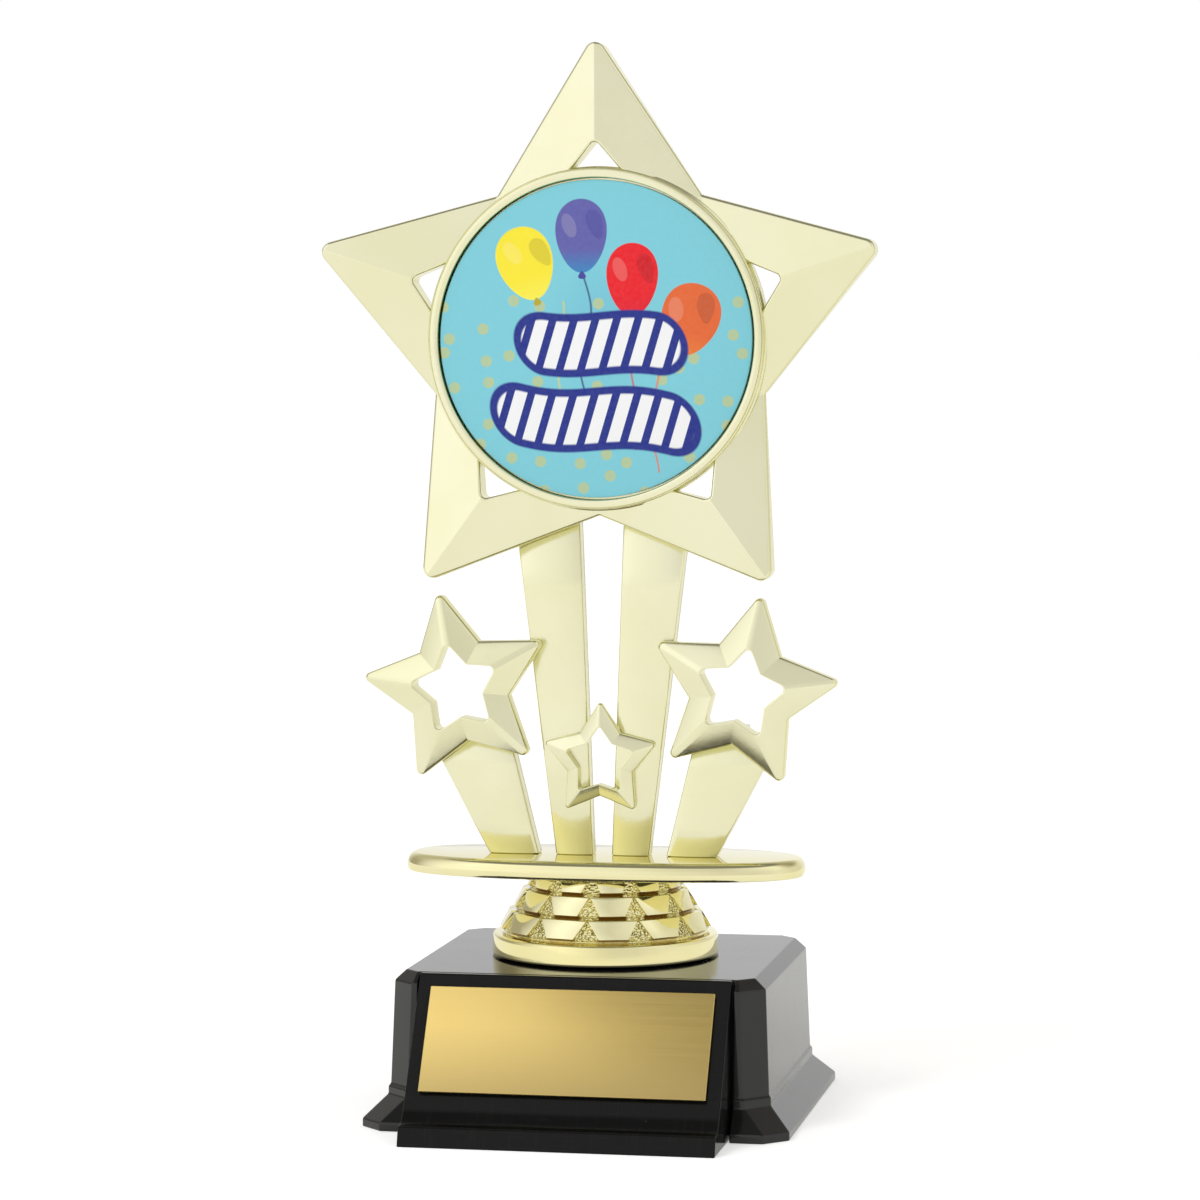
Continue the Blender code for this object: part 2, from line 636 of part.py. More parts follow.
def make_small_stars(gold):
    side_shape = (
        SIDE_STAR_TIP, SIDE_STAR_NOTCH, SIDE_STAR_WINDOW_TIP, SIDE_STAR_WINDOW_NOTCH,
        SIDE_STAR_ROUNDING, SIDE_STAR_EDGE, SIDE_STAR_RIM,
    )
    centre_shape = (
        CENTRE_STAR_TIP, CENTRE_STAR_NOTCH, CENTRE_STAR_WINDOW_TIP, CENTRE_STAR_WINDOW_NOTCH,
        CENTRE_STAR_ROUNDING, CENTRE_STAR_EDGE, CENTRE_STAR_RIM,
    )
    peg_x, peg_z = side_peg()
    for name, side_sign in (("left_star", -1), ("right_star", 1)):
        place = (side_sign * SIDE_STAR_OFFSET, SIDE_STAR_Z, -side_sign * SIDE_STAR_TILT)
        peg(small_star(name, *side_shape, place, gold), side_sign * peg_x, peg_z, SIDE_PEG_RADIUS)
    centre = small_star("centre_star", *centre_shape, (0, CENTRE_STAR_Z, 0), gold)
    peg_x, peg_z = centre_peg()
    for side_sign in (-1, 1):
        peg(centre, side_sign * peg_x, peg_z, SIDE_PEG_RADIUS)


def star_front(point):
    """Height of the large star's front over a point: a level ridge along each arm, falling to the notches."""
    angle = math.atan2(point.x, point.y)
    from_axis = abs((angle + math.pi / 5) % (math.tau / 5) - math.pi / 5)
    off_axis = point.length * math.sin(from_axis)
    fall = STAR_EAVES_DROP * off_axis / (STAR_NOTCH * math.sin(math.pi / 5))
    return FIGURE_BACK + STAR_RIDGE - fall


def make_star_head(gold):
    """The large star with five through-windows, and the round holder for the insert at its middle."""
    outline = star_outline(STAR_TIP, STAR_NOTCH, STAR_TIP_ROUNDING)
    back = [Vector((point.x, point.y, FIGURE_BACK)) for point in outline]
    front = [Vector((point.x, point.y, star_front(point))) for point in outline]
    solid = loft([back, front])
    solid.faces.ensure_lookup_table()
    roof = max(solid.faces, key=lambda face: (len(face.verts), face.calc_center_median().z))
    ridge = bmesh.ops.poke(solid, faces=[roof])["verts"][0]
    ridge.co = (0, 0, FIGURE_BACK + STAR_RIDGE)
    head = add_part("star_head", to_front(solid, z=STAR_Z), gold)
    join_shape(head, to_front(window_prisms(), z=STAR_Z), "DIFFERENCE")
    join_shape(head, to_front(holder_blank(), z=STAR_Z), "UNION")
    seat = cylinder(INSERT_RADIUS + CLEARANCE, holder_floor(), CUT_THROUGH)
    join_shape(head, to_front(seat, z=STAR_Z), "DIFFERENCE")
    for side_sign in (-1, 1):
        peg(head, side_sign * head_peg_x(), STAR_Z - HEAD_PEG_BELOW_CENTRE, HEAD_PEG_RADIUS)


def window_prisms():
    """Five triangular prisms whose two long sides run parallel to the arms' edges."""
    slope = STAR_NOTCH * math.sin(math.pi / 5) / (STAR_TIP - STAR_NOTCH * math.cos(math.pi / 5))
    rim_radius = INSERT_RADIUS + CLEARANCE + RIM_WIDTH
    reach = (STAR_WINDOW_APEX - rim_radius + WINDOW_UNDERLAP) * 2 / 3
    prisms = bmesh.new()
    for arm in range(5):
        place = (
            Matrix.Rotation(math.tau * arm / 5, 4, "Z")
            @ Matrix.Translation((0, STAR_WINDOW_APEX - reach, 0))
            @ Matrix.Diagonal((slope * math.sqrt(3), 1, 1, 1))
        )
        bmesh.ops.create_cone(
            prisms, cap_ends=True, segments=3, radius1=reach, radius2=reach,
            depth=CUT_THROUGH, matrix=place,
        )
    upright = [edge for edge in prisms.edges if edge.calc_length() > CUT_THROUGH / 2]
    bmesh.ops.bevel(
        prisms, geom=upright, offset=STAR_WINDOW_ROUNDING, segments=3, profile=0.5,
        affect="EDGES", material=-1,
    )
    return prisms


def holder_floor():
    return FIGURE_BACK + STAR_RIDGE - INSERT_THICKNESS - INSERT_TAPE_THICKNESS - 2 * CLEARANCE - RIM_PROUD


def circle(radius, height):
    """A ring of points round the Z axis."""
    angles = [math.tau * step / TURN_STEPS for step in range(TURN_STEPS)]
    return [Vector((radius * math.cos(angle), radius * math.sin(angle), height)) for angle in angles]


def holder_blank():
    """A stepped disc: a flange that meets the star, and above it the rim with a rounded outer edge."""
    radius = INSERT_RADIUS + CLEARANCE + RIM_WIDTH
    flange_front = FIGURE_BACK + HOLDER_FLANGE_FRONT
    rim_front = FIGURE_BACK + STAR_RIDGE
    return loft(
        [
            circle(radius + HOLDER_FLANGE, FIGURE_BACK + HOLDER_BACK_STEP),
            circle(radius + HOLDER_FLANGE, flange_front),
            circle(radius, flange_front + RIM_ROUNDING),
            circle(radius, rim_front - RIM_ROUNDING),
            circle(radius - RIM_ROUNDING, rim_front),
        ]
    )


def make_insert(print_face, tape):
    low = holder_floor() + CLEARANCE
    high = low + INSERT_TAPE_THICKNESS
    tape_disc = cylinder(INSERT_RADIUS - INSERT_TAPE_INSET, low, high, SMALL_STEPS * 2)
    add_part("insert_tape", to_front(tape_disc, z=STAR_Z), tape)
    low = high + CLEARANCE
    disc = cylinder(INSERT_RADIUS, low, low + INSERT_THICKNESS)
    add_part("printed_insert", to_front(disc, z=STAR_Z), print_face)


def main():
    global PARTS, CUTTERS
    clear_scene()
    PARTS = new_collection("star_trophy")
    CUTTERS = new_collection("cutters")
    CUTTERS.hide_render = True
    champagne = finish("champagne_gold_plating", (0.80, 0.77, 0.50), 0.22, 1.0)
    riser_gold = finish("bright_gold_plating", (0.83, 0.74, 0.36), 0.06, 1.0)
    black = finish("gloss_black_plastic", (0.012, 0.012, 0.013), 0.12, 0.0)
    brass = finish("satin_gold_plaque", (0.69, 0.51, 0.17), 0.35, 1.0)
    print_face = finish("printed_sky_blue", (0.25, 0.66, 0.77), 0.3, 0.0)
    steel = finish("zinc_plated_steel", (0.62, 0.63, 0.66), 0.35, 1.0)
    felt = finish("black_felt", (0.02, 0.02, 0.02), 0.95, 0.0)
    tape = finish("foam_tape", (0.85, 0.85, 0.82), 0.8, 0.0)
    make_base_shell(black)
    make_front_panel(black)
    make_plaque(brass, tape)
    make_fasteners(steel, make_ballast(steel))
    make_underside_pad(felt)
    make_riser(riser_gold)
    make_oval_plate(champagne)
    make_rays(champagne)
    make_tails(champagne)
    make_small_stars(champagne)
    make_star_head(champagne)
    make_insert(print_face, tape)


main()
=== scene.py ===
# %% [markdown]
# # Star trophy
#
# The real trophy is a plated plastic figure on a hollow black base. Its sizes
# come from the measured solid model, so this lesson starts by loading that
# model as a fixed frame, and every visible piece is then built over it.

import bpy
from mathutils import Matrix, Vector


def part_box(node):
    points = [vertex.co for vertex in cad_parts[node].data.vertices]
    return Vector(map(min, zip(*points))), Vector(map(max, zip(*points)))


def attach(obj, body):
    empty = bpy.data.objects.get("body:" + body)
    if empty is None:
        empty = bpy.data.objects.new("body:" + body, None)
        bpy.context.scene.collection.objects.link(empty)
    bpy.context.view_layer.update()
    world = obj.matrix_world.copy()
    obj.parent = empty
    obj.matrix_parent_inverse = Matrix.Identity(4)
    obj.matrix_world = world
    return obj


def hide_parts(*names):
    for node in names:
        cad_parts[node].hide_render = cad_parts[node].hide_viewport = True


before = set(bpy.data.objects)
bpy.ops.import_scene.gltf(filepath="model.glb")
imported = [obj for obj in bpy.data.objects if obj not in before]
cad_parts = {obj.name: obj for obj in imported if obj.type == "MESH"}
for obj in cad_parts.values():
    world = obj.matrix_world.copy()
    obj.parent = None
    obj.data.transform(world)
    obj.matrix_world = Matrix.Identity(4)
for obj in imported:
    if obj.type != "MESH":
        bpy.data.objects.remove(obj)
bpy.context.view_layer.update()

# %% Blender's own modules
import math

import bmesh
import bpy
from mathutils import Matrix, Vector

MM = 0.001
print("Blender", bpy.app.version_string)

# %% [markdown]
# ## Where things are
#
# Each level of the trophy is read from the box of a measured solid. Typing the
# numbers in again would work too, but then a change to the solid model would
# leave the looks behind.

# %% Levels of the figure
PLATE_THICKNESS = 3 * MM
insert_low, insert_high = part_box("printed_insert")
INSERT_RADIUS = (insert_high.x - insert_low.x) / 2
STAR_Z = (insert_high.z + insert_low.z) / 2
INSERT_FACE = -insert_low.y
INSERT_BACK = -insert_high.y
PLATE_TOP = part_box("oval_plate")[1].z
PLATE_LOW = PLATE_TOP - PLATE_THICKNESS
STAR_BACK = 3.3 * MM
print(f"star centre {STAR_Z * 1000:.1f} mm, plate top {PLATE_TOP * 1000:.1f} mm")

# %% Levels of the foot
base_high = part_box("base_shell")[1]
panel_low, panel_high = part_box("front_panel")
riser_low, riser_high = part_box("riser")
print(f"base top {base_high.z * 1000:.1f} mm, riser {riser_low.z * 1000:.1f} to {riser_high.z * 1000:.1f} mm")

# %% [markdown]
# ## From bmesh to a piece
#
# A bmesh is Blender's editable mesh. Every piece here ends the same way: its
# doubles are merged, its normals turned outwards, its material given, and it
# is tied to the measured body so that it moves with it.

# %% Finish a piece
def piece(name, bm, finish, slot, *nodes, sharp=32):
    """Turns a bmesh into a visible piece that rides on the trophy and stands for the named solids."""
    bmesh.ops.remove_doubles(bm, verts=bm.verts, dist=0.002 * MM)
    bmesh.ops.recalc_face_normals(bm, faces=bm.faces)
    mesh = bpy.data.meshes.new(name)
    bm.to_mesh(mesh)
    bm.free()
    mesh.materials.append(finish)
    mesh.shade_smooth()
    if sharp:
        mesh.set_sharp_from_angle(angle=math.radians(sharp))
    made = bpy.data.objects.new(name, mesh)
    bpy.context.scene.collection.objects.link(made)
    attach(made, "root")
    if nodes:
        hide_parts(*nodes)
    print(f"{name}: {len(mesh.vertices)} points, {len(mesh.polygons)} faces")
    return made


def soften(made, width, segments=3, angle=None):
    """Rounds a piece's edges: those with a bevel weight, or all that are sharper than an angle."""
    bevel = made.modifiers.new("soft_edges", "BEVEL")
    bevel.width = width
    bevel.segments = segments
    bevel.limit_method = "ANGLE" if angle else "WEIGHT"
    if angle:
        bevel.angle_limit = math.radians(angle)
    bevel.harden_normals = True
    return made


print("helpers ready: piece, soften")

# %% Flat shapes, loops and lofts
def stand_up(bm, x=0.0, z=0.0, turn=0.0):
    """Stands a flat shape up: its Y becomes height and its Z comes forwards."""
    stand = Matrix.Translation((x, 0, z)) @ Matrix.Rotation(math.pi / 2, 4, "X")
    bmesh.ops.transform(bm, matrix=stand @ Matrix.Rotation(turn, 4, "Z"), verts=bm.verts)
    return bm


def loop_through(bm, points):
    """A closed loop of edges through the points, bent from a circle."""
    loop = bmesh.ops.create_circle(bm, cap_ends=False, segments=len(points), radius=1)["verts"]
    for vert, point in zip(loop, points):
        vert.co = point
    return list({edge for vert in loop for edge in vert.link_edges})


def skin(loops_of_points, closed=False):
    """A skin bridged through loops. It is capped at both ends, or runs round to its start."""
    bm = bmesh.new()
    loops = [loop_through(bm, points) for points in loops_of_points]
    pairs = list(zip(loops, loops[1:]))
    if closed:
        pairs.append((loops[-1], loops[0]))
    for first, second in pairs:
        bmesh.ops.bridge_loops(bm, edges=first + second)
    if not closed:
        bmesh.ops.holes_fill(bm, edges=loops[0] + loops[-1])
    return bm


def turned(profile, steps=160, closed=True):
    """A shape turned about Z from (radius, height) pairs, as on a lathe."""
    bm = bmesh.new()
    corners = [bm.verts.new((radius, 0, height)) for radius, height in profile]
    pairs = list(zip(corners, corners[1:]))
    if closed:
        pairs.append((corners[-1], corners[0]))
    edges = [bm.edges.new(pair) for pair in pairs]
    bmesh.ops.spin(
        bm, geom=corners + edges, axis=(0, 0, 1), cent=(0, 0, 0),
        steps=steps, angle=math.tau, use_merge=True,
    )
    return bm


def extrude(bm, faces):
    """Extrudes faces and gives the new points, which are still where the old ones are."""
    grown = bmesh.ops.extrude_face_region(bm, geom=faces)["geom"]
    return [item for item in grown if isinstance(item, bmesh.types.BMVert)]


def repeat_round(bm, count):
    """Repeats everything in a bmesh round Z."""
    bmesh.ops.spin(
        bm, geom=bm.verts[:] + bm.edges[:] + bm.faces[:], axis=(0, 0, 1), cent=(0, 0, 0),
        steps=count, angle=math.tau, use_duplicate=True,
    )


def round_edges(bm, verts, width):
    """Rounds every edge that meets the points."""
    edges = list({edge for vert in verts for edge in vert.link_edges})
    bmesh.ops.bevel(bm, geom=edges, offset=width, segments=2, profile=0.5, affect="EDGES", material=-1)


def flat_face(bm, points):
    """One face inside a closed loop of edges, however many corners it has."""
    return bmesh.ops.edgeloop_fill(bm, edges=loop_through(bm, points))["faces"]


print("helpers ready: stand_up, skin, turned, extrude, repeat_round, round_edges, flat_face")

# %% [markdown]
# ## Small effects that several finishes share
#
# Plated plastic is never perfectly flat or perfectly clean. Its faces carry a
# slow ripple from moulding, a faint grain, handling smudges and specks of
# dust. Each effect is a node group, built once, that puts out one value or
# colour, so each finish can use it at its own strength.

# %% Node helpers
def effect(name, inputs, outputs):
    """A new node group with named sockets. Inputs are (kind, name, default), outputs are (kind, name)."""
    group = bpy.data.node_groups.new(name, "ShaderNodeTree")
    for kind, label, value in inputs:
        socket = group.interface.new_socket(label, in_out="INPUT", socket_type=f"NodeSocket{kind}")
        if value is not None:
            socket.default_value = value
    for kind, label in outputs:
        group.interface.new_socket(label, in_out="OUTPUT", socket_type=f"NodeSocket{kind}")
    given, out = group.nodes.new("NodeGroupInput"), group.nodes.new("NodeGroupOutput")
    return group, given.outputs, out.inputs


def wire(tree, socket, value):
    """Links an output to a socket, or sets a plain value on it."""
    if isinstance(value, bpy.types.NodeSocket):
        tree.links.new(value, socket)
    elif value is not None:
        socket.default_value = value


def sum_up(tree, operation, *values):
    """One Math node over the values."""
    node = tree.nodes.new("ShaderNodeMath")
    node.operation = operation
    for socket, value in zip(node.inputs, values):
        wire(tree, socket, value)
    return node.outputs["Value"]


def times(tree, first, second):
    return sum_up(tree, "MULTIPLY", first, second)


def plus(tree, first, second):
    return sum_up(tree, "ADD", first, second)


def minus(tree, first, second):
    return sum_up(tree, "SUBTRACT", first, second)


def axes(tree, place):
    """A place's X, Y and Z."""
    node = tree.nodes.new("ShaderNodeSeparateXYZ")
    wire(tree, node.inputs[0], place)
    return node.outputs


def spread(tree, value, low, high, to_low=0.0, to_high=1.0, smooth=False):
    """Maps a value from one range to another, clamped."""
    node = tree.nodes.new("ShaderNodeMapRange")
    node.interpolation_type = "SMOOTHSTEP" if smooth else "LINEAR"
    for label, number in (("From Min", low), ("From Max", high), ("To Min", to_low), ("To Max", to_high)):
        wire(tree, node.inputs[label], number)
    wire(tree, node.inputs["Value"], value)
    return node.outputs["Result"]


def blend_colours(tree, share, first, second):
    """Mixes two colours by a share."""
    node = tree.nodes.new("ShaderNodeMix")
    node.data_type = "RGBA"
    wire(tree, node.inputs[0], share)
    wire(tree, node.inputs[6], first)
    wire(tree, node.inputs[7], second)
    return node.outputs[2]


def grain_of(tree, place, scale, detail=2.0, roughness=0.5):
    """Noise over a place, from 0 to 1."""
    node = tree.nodes.new("ShaderNodeTexNoise")
    wire(tree, node.inputs["Vector"], place)
    wire(tree, node.inputs["Scale"], scale)
    node.inputs["Detail"].default_value = detail
    node.inputs["Roughness"].default_value = roughness
    return node.outputs["Fac"]


def cells_of(tree, place, scale):
    """Voronoi cells over a place."""
    node = tree.nodes.new("ShaderNodeTexVoronoi")
    wire(tree, node.inputs["Vector"], place)
    wire(tree, node.inputs["Scale"], scale)
    return node


def stretched(tree, place, scale, location=(0.0, 0.0, 0.0), turn=(0.0, 0.0, 0.0)):
    """Scales, turns and moves the place that a pattern is read at."""
    node = tree.nodes.new("ShaderNodeMapping")
    wire(tree, node.inputs["Vector"], place)
    node.inputs["Location"].default_value = location
    node.inputs["Rotation"].default_value = turn
    node.inputs["Scale"].default_value = scale
    return node.outputs["Vector"]


print("node helpers ready")

# %% Moulded ripple: a slow wave and a fine grain, as a height
def make_ripple():
    group, given, out = effect(
        "moulded_ripple",
        [("Vector", "Place", None), ("Float", "Wave Scale", 90.0), ("Float", "Wave Height", 1.0),
         ("Float", "Grain Scale", 2500.0), ("Float", "Grain Height", 0.05)],
        [("Float", "Height")],
    )
    wave = grain_of(group, given["Place"], given["Wave Scale"], 1.0)
    grain = grain_of(group, given["Place"], given["Grain Scale"], 2.0, 0.6)
    wave = times(group, wave, given["Wave Height"])
    grain = times(group, grain, given["Grain Height"])
    wire(group, out["Height"], plus(group, wave, grain))
    return group


moulded_ripple = make_ripple()
print("group", moulded_ripple.name)

# %% Handling smudges: where a surface has been touched, as a mask
def make_smudges():
    group, given, out = effect(
        "handling_smudges",
        [("Vector", "Place", None), ("Float", "Size", 120.0), ("Float", "Cover", 0.5)],
        [("Float", "Mask")],
    )
    cloud = grain_of(group, given["Place"], given["Size"], 4.0, 0.62)
    fine = grain_of(group, given["Place"], 900.0, 2.0, 0.5)
    both = plus(group, times(group, cloud, 0.8), times(group, fine, 0.2))
    edge = minus(group, 0.78, times(group, given["Cover"], 0.5))
    low = minus(group, edge, 0.12)
    high = plus(group, edge, 0.12)
    wire(group, out["Mask"], spread(group, both, low, high, smooth=True))
    return group


handling_smudges = make_smudges()
print("group", handling_smudges.name)

# %% Hairlines: fine scratches along one direction, as a mask
def make_hairlines():
    group, given, out = effect(
        "hairlines",
        [("Vector", "Place", None), ("Float", "Amount", 0.5)],
        [("Float", "Mask")],
    )
    broad = grain_of(group, given["Place"], 1.0, 3.0, 0.7)
    fine = grain_of(group, given["Place"], 3.1, 2.0, 0.6)
    both = times(group, broad, fine)
    high = minus(group, 0.46, times(group, given["Amount"], 0.2))
    wire(group, out["Mask"], spread(group, both, minus(group, high, 0.08), high))
    return group


hairlines = make_hairlines()
print("group", hairlines.name)

# %% Dust: sparse specks of uneven size, as a mask
def make_dust():
    group, given, out = effect(
        "dust_specks",
        [("Vector", "Place", None), ("Float", "Density", 700.0), ("Float", "Speck", 0.12)],
        [("Float", "Mask")],
    )
    cells = cells_of(group, given["Place"], given["Density"])
    patch = grain_of(group, given["Place"], 70.0, 2.0)
    reach = times(group, given["Speck"], spread(group, patch, 0.45, 0.75))
    near = minus(group, reach, cells.outputs["Distance"])
    wire(group, out["Mask"], spread(group, near, 0.0, 0.04))
    return group


dust_specks = make_dust()
print("group", dust_specks.name)

# %% Plating tint: two close golds that drift into each other, as a colour
def make_tint():
    group, given, out = effect(
        "plating_tint",
        [("Vector", "Place", None), ("Color", "Pale", (1, 1, 1, 1)), ("Color", "Deep", (1, 1, 1, 1)),
         ("Float", "Drift Scale", 45.0)],
        [("Color", "Colour")],
    )
    clouds = grain_of(group, given["Place"], given["Drift Scale"], 3.0)
    drift = spread(group, clouds, 0.35, 0.65)
    wire(group, out["Colour"], blend_colours(group, drift, given["Pale"], given["Deep"]))
    return group


plating_tint = make_tint()
print("group", plating_tint.name)

# %% Painted wall shade: where a face turns away from the front, as a mask
def make_painted_wall_shade():
    group, given, out = effect("painted_wall_shade", [("Float", "Strength", 1.0)], [("Float", "Mask")])
    split = axes(group, group.nodes.new("ShaderNodeNewGeometry").outputs["Normal"])
    turned_away = spread(group, sum_up(group, "ABSOLUTE", split["Y"]), 0.84, 0.55, smooth=True)
    wire(group, out["Mask"], times(group, turned_away, given["Strength"]))
    return group


painted_wall_shade = make_painted_wall_shade()
print("group", painted_wall_shade.name)

# %% [markdown]
# ## A finish
#
# Each finish is a Principled shader fed by the groups. Numbers that are the
# same all over, such as the coat or the metal's level, are set on the shader
# itself. The place that the patterns read is the piece's own Object
# coordinates, because every piece keeps its place in its mesh.

# %% Start a finish
def new_finish(name, metallic, roughness, **more):
    made = bpy.data.materials.new(name)
    made.use_nodes = True
    shader = made.node_tree.nodes["Principled BSDF"]
    shader.inputs["Metallic"].default_value = metallic
    shader.inputs["Roughness"].default_value = roughness
    for label, value in more.items():
        shader.inputs[label.replace("_", " ")].default_value = value
    place = made.node_tree.nodes.new("ShaderNodeTexCoord").outputs["Object"]
    return made, made.node_tree, shader, place


def use(tree, group, **values):
    """Places a group in a material with its own values."""
    node = tree.nodes.new("ShaderNodeGroup")
    node.node_tree = group
    for label, value in values.items():
        wire(tree, node.inputs[label.replace("_", " ")], value)
    return node.outputs[0]


def raise_surface(tree, shader, height, distance, strength=1.0):
    """Sends a height to the shader's normal through a Bump node."""
    bump = tree.nodes.new("ShaderNodeBump")
    bump.inputs["Distance"].default_value = distance
    bump.inputs["Strength"].default_value = strength
    wire(tree, bump.inputs["Height"], height)
    wire(tree, shader.inputs["Normal"], bump.outputs["Normal"])


print("finish helpers ready")

# %% [markdown]
# ### Champagne plating
#
# The figure is plastic with a thin metal coat and a tinted clear lacquer on
# top, which gives a pale, slightly soft gold. The metal shader carries the
# colour, a low coat gives the lacquer's sharper glint, and the ripple makes
# the broad faces shade unevenly, as moulded faces do. Side walls and edges
# that turn away from the front are painted a deeper, more olive gold: painted
# shade.

# %% Champagne gold
def make_plating(name, pale, deep, wall_shade_colour, roughness, wave, grain, coat):
    made, tree, shader, place = new_finish(name, 1.0, roughness, Coat_Weight=coat, Coat_Roughness=0.08)
    tint = use(tree, plating_tint, Place=place, Pale=(*pale, 1), Deep=(*deep, 1), Drift_Scale=45.0)
    # painted shade: faces that turn away from the front get the darker wall colour
    wall_shade_mask = use(tree, painted_wall_shade, Strength=0.85)
    wire(tree, shader.inputs["Base Color"], blend_colours(tree, wall_shade_mask, tint, (*wall_shade_colour, 1)))
    smudge = use(tree, handling_smudges, Place=place, Size=110.0, Cover=0.45)
    wire(tree, shader.inputs["Roughness"], spread(tree, smudge, 0.0, 1.0, roughness * 0.88, roughness * 1.22))
    height = use(
        tree, moulded_ripple, Place=place, Wave_Scale=95.0, Wave_Height=wave,
        Grain_Scale=2600.0, Grain_Height=grain,
    )
    raise_surface(tree, shader, height, 1 * MM)
    return made


# the third colour of each gold is its painted wall shade
champagne = make_plating(
    "champagne_gold", (0.835, 0.815, 0.585), (0.80, 0.78, 0.515), (0.72, 0.69, 0.34), 0.2, 0.035, 0.004, 0.15
)
bright_gold = make_plating(
    "bright_gold", (0.86, 0.81, 0.50), (0.83, 0.77, 0.43), (0.84, 0.78, 0.42), 0.075, 0.02, 0.001, 0.1
)
print("finishes", champagne.name, bright_gold.name)

# %% [markdown]
# ### Gloss black plastic
#
# The base is moulded in black and shines, so what is seen on its sides is
# mostly reflection. The wedge in front is given a lower specular level, which
# keeps it dark. That is a choice of looks, not of physics: both are the same
# plastic. Smudges and hairlines change the roughness. Hairlines and dust add
# faint grey, as on any handled gloss black.

# %% Black plastic
def make_black(name, shine):
    made, tree, shader, place = new_finish(name, 0.0, 0.12, Specular_IOR_Level=shine)
    lines = use(tree, hairlines, Place=stretched(tree, place, (900.0, 60.0, 60.0)), Amount=0.45)
    crosswise = stretched(tree, place, (80.0, 120.0, 1100.0), turn=(0.3, 0.5, 0.2))
    cross = use(tree, hairlines, Place=crosswise, Amount=0.4)
    worn = sum_up(tree, "MAXIMUM", lines, cross)
    smudge = use(tree, handling_smudges, Place=place, Size=90.0, Cover=0.5)
    dust = use(tree, dust_specks, Place=place, Density=650.0, Speck=0.1)
    cloudy = plus(tree, times(tree, smudge, 0.05), times(tree, worn, 0.03))
    wire(tree, shader.inputs["Roughness"], plus(tree, cloudy, 0.075))
    marks = sum_up(tree, "MAXIMUM", times(tree, worn, 0.02), times(tree, dust, 0.3))
    colour = blend_colours(tree, marks, (0.0055, 0.0055, 0.0055, 1), (0.12, 0.12, 0.115, 1))
    wire(tree, shader.inputs["Base Color"], colour)
    height = use(
        tree, moulded_ripple, Place=place, Wave_Scale=60.0, Wave_Height=0.02,
        Grain_Scale=3200.0, Grain_Height=0.0006,
    )
    raise_surface(tree, shader, height, 1 * MM)
    return made


gloss_black, wedge_black = make_black("gloss_black", 0.5), make_black("wedge_black", 0.13)
print("finishes", gloss_black.name, wedge_black.name)

# %% [markdown]
# ### Satin gold plaque
#
# A thin brushed sheet with a lacquer. Its grain runs along its length, so the
# pattern is stretched along X: rough across, smooth along. Its colour is
# painted darker towards its lower edge: painted shade, for the dark lip that
# the lower part reflects.

# %% Plaque gold
SHADE_FROM, SHADE_DARKEST_AT = 17 * MM, 6 * MM


def make_satin():
    made, tree, shader, place = new_finish("satin_gold", 1.0, 0.36, Coat_Weight=0.2, Coat_Roughness=0.2)
    brushed = grain_of(tree, stretched(tree, place, (35.0, 3800.0, 3800.0)), 1.0, 3.0, 0.65)
    cloud = use(tree, handling_smudges, Place=place, Size=60.0, Cover=0.5)
    tone = blend_colours(tree, brushed, (0.84, 0.615, 0.20, 1), (0.90, 0.68, 0.24, 1))
    tone = blend_colours(tree, times(tree, cloud, 0.2), tone, (0.78, 0.57, 0.19, 1))
    split = axes(tree, place)
    # painted shade: the colour darkens towards the plaque's lower edge
    painted_low_shade = spread(tree, split["Z"], SHADE_FROM, SHADE_DARKEST_AT)
    tone = blend_colours(tree, painted_low_shade, tone, (0.56, 0.42, 0.16, 1))
    wire(tree, shader.inputs["Base Color"], tone)
    wire(tree, shader.inputs["Roughness"], spread(tree, brushed, 0.2, 0.8, 0.33, 0.43))
    raise_surface(tree, shader, brushed, 0.006 * MM)
    return made


satin_gold = make_satin()
print("finish", satin_gold.name)

# %% [markdown]
# ### Hidden pieces
#
# Steel, foam and felt hardly show from outside, but they are real pieces, so
# each has its own finish: zinc is mottled and a little dull, foam
# is open and matt, and felt is all fibre.

# %% Zinc plated steel
def make_zinc():
    made, tree, shader, place = new_finish("zinc_steel", 1.0, 0.35)
    spangle = cells_of(tree, place, 900.0)
    tone = blend_colours(tree, spangle.outputs["Distance"], (0.55, 0.56, 0.6, 1), (0.7, 0.7, 0.71, 1))
    wire(tree, shader.inputs["Base Color"], tone)
    smudge = use(tree, handling_smudges, Place=place, Size=300.0, Cover=0.5)
    wire(tree, shader.inputs["Roughness"], spread(tree, smudge, 0.0, 1.0, 0.28, 0.45))
    turning = grain_of(tree, stretched(tree, place, (200.0, 200.0, 5000.0)), 1.0, 2.0)
    raise_surface(tree, shader, turning, 0.02 * MM)
    return made


zinc_steel = make_zinc()
print("finish", zinc_steel.name)

# %% Foam and felt
def make_soft(name, dark, light, scale, depth):
    made, tree, shader, place = new_finish(name, 0.0, 0.92, Specular_IOR_Level=0.2)
    fibre = grain_of(tree, place, scale, 4.0, 0.75)
    wire(tree, shader.inputs["Base Color"], blend_colours(tree, fibre, (*dark, 1), (*light, 1)))
    wire(tree, shader.inputs["Roughness"], spread(tree, fibre, 0.2, 0.8, 0.85, 1.0))
    raise_surface(tree, shader, fibre, depth)
    return made


foam = make_soft("white_foam", (0.6, 0.6, 0.57), (0.86, 0.86, 0.83), 1400.0, 0.15 * MM)
felt = make_soft("pad_felt", (0.006, 0.006, 0.007), (0.05, 0.05, 0.052), 1800.0, 0.35 * MM)
print("finishes", foam.name, felt.name)

# %% [markdown]
# ## The large star
#
# The large star has five arms, each with a level ridge down its middle and
# two faces that fall to the notches, and each is pierced by a rounded
# triangle. It could be cut from a solid with Booleans, but those leave ragged
# faces round every rounded corner. One half arm is drawn instead as a single
# face, mirrored into an arm and spun five times, so that all the arms match.

